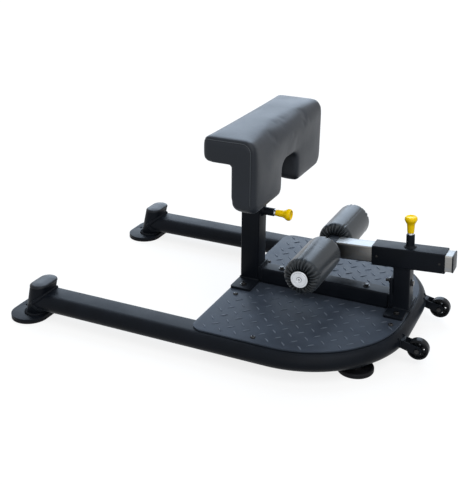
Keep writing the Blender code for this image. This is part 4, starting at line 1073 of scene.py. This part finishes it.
def pad_of_cloth():
    """The pad's skin before it is filled: its solid with the board held off, remeshed."""
    form = node_form("calf_pad")
    board = node_form("pad_board")
    board.normal_update()
    for vert in board.verts:
        vert.co += vert.normal * 0.0012
    spread(form, board)
    pad = object_of(form, "calf_pad_skin")
    remesh = pad.modifiers.new("skin", "REMESH")
    remesh.mode = "VOXEL"
    remesh.voxel_size = 0.005
    settle(pad)
    return pad


def rounded_off(piece, held, crisp, rounds, outwards):
    """Smooth a skin where it is neither held nor crisp, and push it back out."""
    form = bmesh.new()
    form.from_mesh(piece.data)
    form.normal_update()
    holds = [held(vert.co, vert.normal) for vert in form.verts]
    free = [vert for vert, hold in zip(form.verts, holds) if hold < 0.5 and not crisp(vert.co)]
    for _ in range(rounds):
        bmesh.ops.smooth_vert(form, verts=free, factor=0.5,
                              use_axis_x=True, use_axis_y=True, use_axis_z=True)
    form.normal_update()
    for vert, hold in zip(form.verts, holds):
        vert.co += vert.normal * outwards * (1 - hold)
    form.to_mesh(piece.data)
    form.free()


def settle(piece):
    """Apply all modifiers of a piece."""
    graph = bpy.context.evaluated_depsgraph_get()
    mesh = bpy.data.meshes.new_from_object(piece.evaluated_get(graph))
    piece.modifiers.clear()
    old = piece.data
    piece.data = mesh
    bpy.data.meshes.remove(old)


def blown_up(piece, start, most, pinned, pressure):
    """Draw a piece in, let cloth pressure fill it, and hold each point to a short move."""
    last_frame = 20
    mesh = piece.data
    held = [pinned(vert.co, vert.normal) for vert in mesh.vertices]
    normals = [vert.normal.copy() for vert in mesh.vertices]
    for vert, normal, hold in zip(mesh.vertices, normals, held):
        vert.co -= normal * start * (1 - hold)
    before = [vert.co.copy() for vert in mesh.vertices]
    group = piece.vertex_groups.new(name="held")
    for index, hold in enumerate(held):
        if hold > 0:
            group.add([index], hold, "REPLACE")
    cloth = piece.modifiers.new("fill", "CLOTH")
    cloth.settings.use_pressure = True
    cloth.settings.uniform_pressure_force = pressure
    cloth.settings.effector_weights.gravity = 0
    cloth.settings.vertex_group_mass = "held"
    cloth.settings.tension_stiffness = 60
    cloth.settings.compression_stiffness = 60
    cloth.settings.bending_stiffness = 20
    cloth.point_cache.frame_start = 1
    cloth.point_cache.frame_end = last_frame
    scene = bpy.context.scene
    for step in range(1, last_frame + 1):
        scene.frame_set(step)
    graph = bpy.context.evaluated_depsgraph_get()
    filled = [vert.co.copy() for vert in piece.evaluated_get(graph).data.vertices]
    piece.modifiers.clear()
    piece.vertex_groups.clear()
    for vert, here, there in zip(mesh.vertices, before, filled):
        move = there - here
        reach = move.length
        vert.co = here + (move * (most * math.tanh(reach / most) / reach) if reach > 1e-9 else move)
    scene.frame_set(1)


def unit(value):
    """A number held between 0 and 1."""
    return min(max(value, 0.0), 1.0)


class BENCH_OT_calf_pad(bpy.types.Operator):
    """Fill the calf pad's vinyl skin and lay its seams"""
    bl_idname = "bench.calf_pad"
    bl_label = "Calf pad"

    def execute(self, context):
        sizes = context.scene.squat_bench.padding
        pad = pad_of_cloth()
        self.low, self.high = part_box("calf_pad")
        foot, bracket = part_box("pad_bracket")
        self.under = bracket.z + GAP
        self.back = bracket.x + GAP
        rounded_off(pad, self.resting, self.at_staples, 6, 0.0052)
        blown_up(pad, sizes.pad_start, sizes.pad_swell, self.resting, 2.0)
        rounded_off(pad, self.resting, self.at_staples, 4, 0.0003)
        self.filled_out(pad)
        self.squared_off(pad)
        finer = pad.modifiers.new("finer", "SUBSURF")
        finer.levels = 1
        finer.render_levels = 1
        settle(pad)
        self.clear_bracket(pad, foot, bracket)
        paths = [self.seam_path(pad, side) for name, side in SIDES]
        self.pressed(pad, paths)
        pad.data.materials.clear()
        pad.data.materials.append(FINISHES["grey_vinyl"])
        pad.data.shade_smooth()
        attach(pad, "pad_carriage")
        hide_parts("calf_pad")
        for (name, side), path in zip(SIDES, paths):
            shifted = [point + Vector((0, side * -0.0004, 0)) for point in path]
            new_piece(swept(shifted, 0.0010, 0.003, steps=6), f"pad_seam_{name}", "seam_thread",
                      body="pad_carriage", sharp=180)
        return {"FINISHED"}

    def filled_out(self, pad):
        """Let the stuffing sag a little at the pad's foot and over its notch."""
        arch = self.low.z + NOTCH_HIGH
        for vert in pad.data.vertices:
            co = vert.co
            drop = 0.0035 * unit((self.low.z + 0.050 - co.z) / 0.050)
            if co.x > self.back:
                across = max(0.0, 1 - (co.y / 0.075) ** 2)
                drop += 0.0040 * across * math.exp(-((co.z - arch) / 0.022) ** 2)
            co.z -= drop

    def squared_off(self, pad):
        """Keep the top level right up to the end seams."""
        end = max(vert.co.y for vert in pad.data.vertices)
        rim = 0.007
        for vert in pad.data.vertices:
            inside = end - abs(vert.co.y)
            facing = unit((vert.normal.z - 0.2) / 0.5)
            vert.co.z += 0.0026 * facing * min(inside / rim, math.exp((rim - inside) / 0.009))

    def resting(self, point, normal):
        """1 where the skin is drawn flat over the board, fading to 0 at the pad's rim."""
        skin = 0.004
        on_slab = (point.x < self.back and abs(point.z - self.under) < skin
                   and normal.z < -0.7)
        on_face = (point.z < self.under and abs(point.x - self.back) < skin
                   and normal.x < -0.7)
        if not (on_slab or on_face):
            return 0.0
        inside = self.high.y - abs(point.y)
        if on_slab:
            inside = min(inside, point.x - self.low.x)
        else:
            off_notch = max(abs(point.y) - NOTCH_HALF, point.z - self.low.z - NOTCH_HIGH)
            inside = min(inside, point.z - self.low.z, off_notch)
        return unit((inside - 0.003) / 0.010)

    def at_staples(self, point):
        """True close to the inner faces, where the skin is pulled over the board's edge."""
        near = 0.007
        near_slab = self.low.x + 0.024 < point.x < self.back and point.z < self.under + near
        near_face = self.low.z + 0.036 < point.z < self.under and point.x < self.back + near
        return near_slab or near_face

    def clear_bracket(self, pad, foot, bracket):
        """Keep the skin off the bracket under it."""
        edge = 0.001
        deep = 0.006
        under = self.under + 0.0008
        back = self.back + 0.0008
        for vert in pad.data.vertices:
            co = vert.co
            if abs(co.y) > bracket.y + edge:
                continue
            if foot.x - edge < co.x < self.back and self.under - deep < co.z < under:
                co.z = under
            elif foot.z - edge < co.z < self.under and self.back - deep < co.x < back:
                co.x = back

    def seam_path(self, pad, side):
        """Where an end panel is sewn to the long one, on the skin."""
        tree = BVHTree.FromObject(pad, bpy.context.evaluated_depsgraph_get())
        low, high = self.low, self.high
        bend = 0.026
        front = high.x - 0.010
        top = high.z - 0.0036
        long = front - bend - 0.002 - low.x
        plan = [(low.x + 0.002 + long * count / 30, top) for count in range(30)]
        for count in range(13):
            angle = QUARTER * count / 12
            plan.append((front - bend + bend * math.sin(angle),
                         top - bend + bend * math.cos(angle)))
        plan += [(front, top - bend - 0.155 * count / 34) for count in range(1, 34)]
        path = []
        for x, z in plan:
            outside = Vector((x, side * (high.y + 0.05), z))
            hit = tree.ray_cast(outside, Vector((0, -side, 0)), 0.08)[0]
            if hit:
                path.append(hit)
        return path

    def pressed(self, pad, paths):
        """Press the skin in along its seams."""
        points = [point for path in paths for point in even_path(path, 0.002)]
        tree = KDTree(len(points))
        for index, point in enumerate(points):
            tree.insert(point, index)
        tree.balance()
        for vert in pad.data.vertices:
            near = tree.find(vert.co)[2]
            if near < 0.009:
                vert.co -= vert.normal * 0.0016 * math.exp(-(near / 0.0034) ** 2)


# Rollers and their bar

def fold_depth(angle, pleats):
    """0 on top of a fold and 1 in the crease between two, unevenly spaced."""
    phase = pleats * angle + 1.1 * math.sin(3 * angle + 0.7) + 0.8 * math.sin(7 * angle + 2.1)
    return 1 - abs(math.sin(phase / 2)) ** 0.8


def fold_reach(angle):
    """How far along the roller a fold runs, as a share of the gathered length."""
    return 0.72 + 0.16 * math.sin(5 * angle + 1.3) + 0.12 * math.sin(11 * angle + 0.4)


class BENCH_OT_rollers(bpy.types.Operator):
    """Gather the rollers' vinyl and put on their end discs"""
    bl_idname = "bench.rollers"
    bl_label = "Rollers"

    def execute(self, context):
        sizes = context.scene.squat_bench.padding
        for (name, side), shift in zip(SIDES, (0.6, 2.2)):
            seat = ROLLER_AXES @ about("X", -side * QUARTER)
            self.roller(name, sizes, seat, shift)
            self.disc(name, seat)
        return {"FINISHED"}

    def roller(self, name, sizes, seat, shift):
        """Soft roller, its mouths drawn in round the rod's tube."""
        low, high = ROLLER_IN, ROLLER_OUT
        bore, wide, soft = ROLLER_BORE, ROLLER_RADIUS, ROLLER_SOFT
        mouth = [(bore + 0.0008, 0.0075), (0.0240, 0.0065), (0.0258, 0.0045),
                 (0.0268, 0.0022), (0.0280, 0.0009), (0.0296, 0.0004)]
        straight = high - low - 2 * soft
        profile = [(bore, low + 0.009), (bore, (low + high) / 2), (bore, high - 0.009)]
        profile += [(radius, high - z) for radius, z in mouth]
        profile += arc((wide - soft, high - soft), soft, 85, 0, 20)
        profile += [(wide, high - soft - straight * step / 40) for step in range(1, 40)]
        profile += arc((wide - soft, low + soft), soft, 0, -85, 20)
        profile += [(radius, low + z) for radius, z in reversed(mouth)]
        form = turned(profile, ROLLER_STEPS)
        bmesh.ops.recalc_face_normals(form, faces=form.faces)
        piece = object_of(form, f"roller_skin_{name}")
        blown_up(piece, 0.0016, 0.0022, self.glued, 4.0)
        self.gather(piece, sizes, shift)
        piece.data.transform(seat)
        piece.data.materials.append(FINISHES["roller_vinyl"])
        piece.data.shade_smooth()
        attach(piece, f"{name}_roller")
        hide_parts(f"roller_{name}")

    def glued(self, point, normal):
        return 1.0 if math.hypot(point.x, point.y) < 0.026 else 0.0

    def gather(self, piece, sizes, shift):
        """Press the pleats into both ends and the long seam between them, and keep each point's
        fold share, which the vinyl paints as shade.
        """
        mesh = piece.data
        moves = []
        folds = []
        for vert in mesh.vertices:
            co = vert.co
            radius = math.hypot(co.x, co.y)
            # Painted half shade inside the bore and its mouth.
            if radius < 0.0245:
                moves.append(Vector())
                folds.append(0.5)
                continue
            angle = math.atan2(co.y, co.x) + shift
            run = radius - 0.026 + max(min(ROLLER_OUT - co.z, co.z - ROLLER_IN), 0)
            inner_end = co.z < (ROLLER_IN + ROLLER_OUT) / 2
            fade = unit(1 - run / (0.066 * fold_reach(angle + (1.7 if inner_end else 0))))
            fade = fade * (2 - fade)
            share = fade * fold_depth(angle, sizes.pleats)
            depth = sizes.pleat_depth * share - 0.0014 * fade * (1 - share)
            # Painted shade, darkest deep in a crease.
            fold = min(share ** 1.3 * 1.3, 0.92)
            # Painted shade along the seam's groove as well.
            if abs(angle - shift - ROLLER_SEAM) < 0.016:
                depth = max(depth, 0.0006)
                fold = max(fold, 0.5)
            moves.append(-vert.normal * depth)
            folds.append(fold)
        for vert, move in zip(mesh.vertices, moves):
            vert.co += move
        # The fold attribute carries the painted shade to the vinyl finish.
        mesh.attributes.new("fold", "FLOAT", "POINT").data.foreach_set("value", folds)

    def disc(self, name, seat):
        """Bright disc with a turned ring and a cross-slotted screw, and a black disc as painted
        shadow in the screw's recess.
        """
        base = ROLLER_OUT + 0.0006
        top = base + 0.0045
        disc = turned([(0.0072, top - 0.0012), (0.0082, top - 0.0002), (0.0092, top),
                       (0.0190, top), (0.0196, top - 0.0004), (0.0203, top),
                       *arc((0.0238, top - 0.0012), 0.0012, 90, 0, 5),
                       (0.0250, base + 0.0006), (0.0244, base), (0.0072, base)], 64)
        hub = turned([(0, base - 0.018), (0.0165, base - 0.018), (0.0165, base - 0.0003),
                      (0.0150, base + 0.0010), (0, base + 0.0010)], 40)
        spread(disc, hub)
        screw = self.cross_screw(0.0068, top - 0.0011)
        # Painted shadow: a thin black disc shows at the bottom of the screw's cross recess.
        recess = pin(0.0040, top - 0.0009, top - 0.0014, 16, False)
        for form, kind, finish, node in (
                (disc, "end_disc", "zinc", f"roller_end_disc_{name}"),
                (screw, "disc_screw", "zinc", None), (recess, "disc_recess_shadow", "black_bolt", None)):
            new_piece(placed(form, seat), f"{kind}_{name}", finish, node, "roller_arm", sharp=30)

    def cross_screw(self, radius, base):
        """Flat screw head with a cross recess."""
        form = bmesh.new()
        rim = round_ring(form, radius, base + 0.0010, 40)
        slot = round_ring(form, 0.0045, base + 0.0010, 12)
        for vert in slot:
            angle = math.atan2(vert.co.y, vert.co.x)
            reach = 0.0042 if abs(math.cos(2 * angle)) > 0.9 else 0.0018
            vert.co.x = reach * math.cos(angle)
            vert.co.y = reach * math.sin(angle)
        bmesh.ops.triangle_fill(form, use_beauty=True, edges=ring_edges(rim) + ring_edges(slot))
        sunk(form, slot, 0.0009)
        lower = round_ring(form, radius * 0.9, base - 0.0006, 40)
        bridged(form, [rim, lower])
        closed(form, lower)
        return form


class BENCH_OT_roller_bar(bpy.types.Operator):
    """Make the bright square bar with its cross rod and end cap"""
    bl_idname = "bench.roller_bar"
    bl_label = "Roller bar"

    def execute(self, context):
        front = SLEEVE_LONG / 2 + 0.019
        rear = -0.200 - SLEEVE_OFFSET
        bar = soften(square_tube(INNER, rear, front), 0.0004)
        cap = soften(square_bar(0.052, 0.052, 0, 0.004), 0.0009, 3)
        spread(cap, square_bar(0.0430, 0.0430, -0.012, 0.001, 0.001))
        half = ROLLER_OUT + GAP
        rod = turned([(0.0170, -half), (0.0196, -half), (0.0200, -half + 0.0004),
                      (0.0200, half - 0.0004), (0.0196, half), (0.0170, half)], 48)
        placed(rod, about("X", QUARTER))
        spread(rod, placed(square_bar(INNER, INNER, 0, 0.0271), ALONG_X))
        for form, seat, name, finish, node in (
                (bar, SLEEVE_AXES @ ALONG_X, "bright_bar", "brushed_steel", "roller_bar"),
                (cap, SLEEVE_AXES @ at(front + GAP) @ ALONG_X, "bar_plug", "black_plastic",
                 "bar_end_cap"),
                (rod, ROLLER_AXES, "cross_rod", "powder_coat", "roller_cross_rod")):
            new_piece(placed(form, seat), name, finish, node, "roller_arm")
        return {"FINISHED"}


# Pull pins

class BENCH_OT_pull_pins(bpy.types.Operator):
    """Turn the two spring pins, their barrels and their yellow knobs"""
    bl_idname = "bench.pull_pins"
    bl_label = "Pull pins"

    def execute(self, context):
        steps = context.scene.squat_bench.fittings.round_steps
        for name, seat in (("sleeve_pin", SLEEVE_PIN_AXES), ("post_pin", POST_PIN_AXES)):
            for profile, kind, finish, node, body, sharp in (
                    (self.barrel(), "housing", "powder_coat", "barrel", "base_frame", 50),
                    (self.plunger(), "rod", "zinc", "plunger", name, 30),
                    (self.knob(), "grip", "yellow_plastic", "knob", name, 45)):
                new_piece(placed(turned(profile, steps), seat), f"{name}_{kind}", finish,
                          f"{name}_{node}", body, sharp=sharp)
        return {"FINISHED"}

    def barrel(self):
        """Tube of the housing, flared where it stands on the post or the sleeve."""
        return [(0.0068, 0.0003), (0.0185, 0.0003), (0.0180, 0.0012), (0.0158, 0.0024),
                (0.0138, 0.0042), (0.0126, 0.0066), (0.0123, 0.0090),
                *arc((0.0115, 0.0372), 0.0008, 0, 90, 4),
                (0.0045, 0.0380), (0.0045, 0.0350), (0.0068, 0.0350)]

    def plunger(self):
        """Rod with a disc under the knob, a shoulder at its foot and a chamfered tip."""
        return [(0, 0.0565), (0.0038, 0.0565), (0.0038, 0.0438),
                *arc((0.0089, 0.0430), 0.0008, 90, 0, 4),
                *arc((0.0089, 0.0391), 0.0008, 0, -90, 4),
                (0.0038, 0.0383), (0.0038, 0.0046), (0.0062, 0.0046), (0.0062, 0.0009),
                (0.0040, 0.0009), (0.0040, -0.0075), (0.0030, -0.0085), (0, -0.0085)]

    def knob(self):
        """Waisted stem that flares into a round cap, its end dished."""
        low = 0.0441
        high = low + 0.049
        dish = [(0, 0.0032), (0.0080, 0.0030), (0.0118, 0.0018)]
        flare = [(0.0170, 0.0022), (0.0180, 0.0042), (0.0184, 0.0066), (0.0183, 0.0092),
                 (0.0176, 0.0118), (0.0162, 0.0146), (0.0144, 0.0176), (0.0128, 0.0206),
                 (0.0117, 0.0236), (0.0112, 0.0266), (0.0110, 0.0310), (0.0106, 0.0380)]
        return [*((radius, high - down) for radius, down in dish),
                *arc((0.0142, high - 0.0018), 0.0018, 130, 30, 6),
                *((radius, high - down) for radius, down in flare), (0.0100, low + 0.0030),
                *arc((0.0089, low + 0.0009), 0.0009, 0, -90, 4),
                (0.0043, low), (0.0043, low + 0.0129), (0, low + 0.0129)]


# Wheels

class BENCH_OT_wheels(bpy.types.Operator):
    """Make the transport wheels, their brackets and their axle bolts"""
    bl_idname = "bench.wheels"
    bl_label = "Wheels"

    def execute(self, context):
        for name, side in SIDES:
            seat = at(WHEEL_X, side * WHEEL_Y, WHEEL_Z) @ about("X", QUARTER)
            new_piece(placed(self.wheel(), seat), f"roll_wheel_{name}", "wheel_plastic",
                      f"wheel_{name}", f"{name}_wheel", 40)
            self.fork(name)
            new_piece(placed(self.axle(), seat), f"axle_bolt_{name}", "black_bolt",
                      f"wheel_bolt_{name}", sharp=30)
            for index, across in enumerate((-0.0155, 0.0155)):
                path = self.weld_path(side * WHEEL_Y + across)
                weld(path, f"wheel_weld_{name}_{index}", scale=0.9)
        return {"FINISHED"}

    def fork(self, name):
        """The bracket's own shape, with its cut edges rounded."""
        form = node_form(f"wheel_bracket_{name}")
        bmesh.ops.dissolve_limit(form, angle_limit=math.radians(1), verts=form.verts,
                                 edges=form.edges)
        new_piece(soften(form, 0.0008, over=40), f"wheel_fork_{name}",
                  node=f"wheel_bracket_{name}")

    def weld_path(self, y):
        """Up the bend's round side, at a place across the bench."""
        past = max(abs(y) - BEND_Y, 0)
        reach = BEND_RADIUS + TUBE_WIDE / 2
        turned_back = math.sqrt(reach * reach - past * past) - reach
        path = []
        for count in range(25):
            angle = math.radians(-58 + 116 * count / 24)
            x = POST_X + 0.0175 + TUBE_HIGH / 2 * math.cos(angle) + GAP
            z = TUBE_Z + TUBE_HIGH / 2 * math.sin(angle)
            if 0.050 < z < 0.077:
                path.append((x + turned_back, y, z))
        return path

    def axle(self):
        bolt = pin(0.0040, 0.0165, -0.0165, 24, False)
        end = turned([(0, 0.0186), (0.0036, 0.0186), (0.0040, 0.0180), (0.0040, 0.0160),
                      (0, 0.0160)], 24)
        spread(bolt, placed(hexagon_head(0.0075, 0.0055), at(z=0.0166)))
        spread(bolt, placed(end, about("X", math.pi)))
        return bolt

    def wheel(self):
        """Rim with round shoulders, a drilled web with ribs, and a hub."""
        half = 0.0123
        web = 0.0046
        middle = 0.0167
        spokes = 5
        form = turned([(0.0245, -half + 0.0010), (0.0250, -half),
                       *arc((0.0275, -half + 0.0035), 0.0035, -90, 0, 6),
                       *arc((0.0275, half - 0.0035), 0.0035, 0, 90, 6),
                       (0.0250, half), (0.0245, half - 0.0010)], 72)
        spread(form, turned([(0.0044, -half), (0.0084, -half), (0.0090, -half + 0.0006),
                             (0.0090, half - 0.0006), (0.0084, half), (0.0044, half)], 40))
        angles = [TURN * index / spokes + math.radians(5) for index in range(spokes)]
        holes = [circle(0.0035, 20, middle * math.cos(angle), middle * math.sin(angle))
                 for angle in angles]
        plate = ring_plate(-web, web, circle(0.0248, 60), circle(0.0086, 40), *holes)
        spread(form, soften(plate, 0.0005))
        for angle in angles:
            rib = square_bar(0.0170, 0.0024, -half + 0.003, half - 0.003, 0.0006, 2)
            seat = about("Z", angle + TURN / spokes / 2) @ at(middle)
            spread(form, placed(soften(rib, 0.0004), seat))
        return form


# Stage

class BENCH_OT_stage(bpy.types.Operator):
    """Set the camera, the lamps and the pale floor"""
    bl_idname = "bench.stage"
    bl_label = "Stage"

    def execute(self, context):
        scene = context.scene
        scene.view_settings.view_transform = "Standard"
        self.camera(scene)
        self.floor()
        self.world(scene)
        for name, strength, angle, way, colour in (
                ("overhead", 1.05, 44, (0.40, -0.16, 0.90), (0.92, 0.96, 1.0)),
                ("behind", 2.60, 58, (-0.37, 0.76, 0.62), (0.64, 0.80, 1.0)),
                ("fill", 0.85, 60, (0.45, -0.76, 0.46), (1.0, 0.98, 0.95))):
            data = bpy.data.lights.new(name, "SUN")
            data.energy = strength
            data.angle = math.radians(angle)
            data.color = colour
            lamp = bpy.data.objects.new(name, data)
            lamp.rotation_euler = Vector(way).to_track_quat("Z", "Y").to_euler()
            scene.collection.objects.link(lamp)
        return {"FINISHED"}

    def camera(self, scene):
        azimuth, elevation, roll = (math.radians(angle) for angle in CAMERA_ANGLES)
        back = Vector((math.sin(azimuth) * math.cos(elevation),
                       -math.cos(azimuth) * math.cos(elevation), math.sin(elevation)))
        right = Vector((math.cos(azimuth), math.sin(azimuth), 0))
        up = back.cross(right)
        level = math.cos(roll) * right - math.sin(roll) * up
        upright = math.sin(roll) * right + math.cos(roll) * up
        data = bpy.data.cameras.new("camera")
        data.sensor_fit = "AUTO"
        data.sensor_width = SENSOR
        data.lens = FOCAL_PIXELS / PHOTO_WIDE * SENSOR
        data.clip_end = 100
        camera = bpy.data.objects.new("camera", data)
        camera.matrix_world = at(*CAMERA_PLACE) @ Matrix(
            (level, upright, back)).transposed().to_4x4()
        scene.collection.objects.link(camera)
        scene.camera = camera

    def seen(self, tree):
        """1 for rays from the camera and rays that metal or glass sends on, else 0."""
        rays = add_node(tree, "ShaderNodeLightPath").outputs
        total = rays["Is Camera Ray"]
        for ray in ("Is Glossy Ray", "Is Transmission Ray"):
            total = add_node(tree, "ShaderNodeMath", {0: total, 1: rays[ray]},
                             operation="MAXIMUM").outputs[0]
        return total

    def floor(self):
        form = bmesh.new()
        bmesh.ops.create_grid(form, x_segments=1, y_segments=1, size=40)
        floor = object_of(form, "floor")
        material = bpy.data.materials.new("pale_floor")
        material.use_nodes = True
        tree = material.node_tree
        tree.nodes.clear()
        share = add_node(tree, "ShaderNodeMath", {0: self.seen(tree), 1: 0.80},
                         operation="MULTIPLY").outputs[0]
        plain = add_node(tree, "ShaderNodeBsdfDiffuse", {"Color": (0.22, 0.22, 0.22)}).outputs[0]
        glow = add_node(tree, "ShaderNodeEmission", {
            "Color": (1, 1, 1), "Strength": share}).outputs[0]
        both = add_node(tree, "ShaderNodeAddShader", {0: plain, 1: glow}).outputs[0]
        add_node(tree, "ShaderNodeOutputMaterial", {"Surface": both})
        floor.data.materials.append(material)

    def world(self, scene):
        world = bpy.data.worlds.new("studio")
        scene.world = world
        world.use_nodes = True
        tree = world.node_tree
        tree.nodes.clear()
        level = add_node(tree, "ShaderNodeMapRange", {
            "Value": self.seen(tree), "To Min": 0.40, "To Max": 1.0}).outputs[0]
        sky = add_node(tree, "ShaderNodeBackground", {
            "Color": (1, 1, 1), "Strength": level}).outputs[0]
        add_node(tree, "ShaderNodeOutputWorld", {"Surface": sky})


STEPS = (
    BENCH_OT_finishes,
    BENCH_OT_bent_frame,
    BENCH_OT_leg_posts,
    BENCH_OT_front_feet,
    BENCH_OT_deck,
    BENCH_OT_deck_bolts,
    BENCH_OT_rear_post,
    BENCH_OT_low_beam,
    BENCH_OT_front_post,
    BENCH_OT_calf_pad,
    BENCH_OT_rollers,
    BENCH_OT_roller_bar,
    BENCH_OT_pull_pins,
    BENCH_OT_wheels,
    BENCH_OT_stage,
)


class BENCH_PT_panel(bpy.types.Panel):
    """Lists the bench's pieces and their sizes"""
    bl_idname = "BENCH_PT_panel"
    bl_label = "Sissy squat bench"
    bl_space_type = "VIEW_3D"
    bl_region_type = "UI"
    bl_category = "Squat Bench"

    def draw(self, context):
        settings = context.scene.squat_bench
        for group in (settings.frame, settings.deck, settings.padding, settings.fittings):
            box = self.layout.box()
            for name in group.__annotations__:
                box.prop(group, name)
        for step in STEPS:
            self.layout.operator(step.bl_idname)


GROUPS = (FrameLooks, DeckLooks, PaddingLooks, FittingLooks, BenchLooks)


def register():
    for item in (*GROUPS, *STEPS, BENCH_PT_panel):
        bpy.utils.register_class(item)
    bpy.types.Scene.squat_bench = bpy.props.PointerProperty(type=BenchLooks)


def unregister():
    del bpy.types.Scene.squat_bench
    for item in reversed((*GROUPS, *STEPS, BENCH_PT_panel)):
        bpy.utils.unregister_class(item)


def main():
    register()
    for step in STEPS:
        group, name = step.bl_idname.split(".")
        getattr(getattr(bpy.ops, group), name)()


if __name__ == "__main__":
    main()
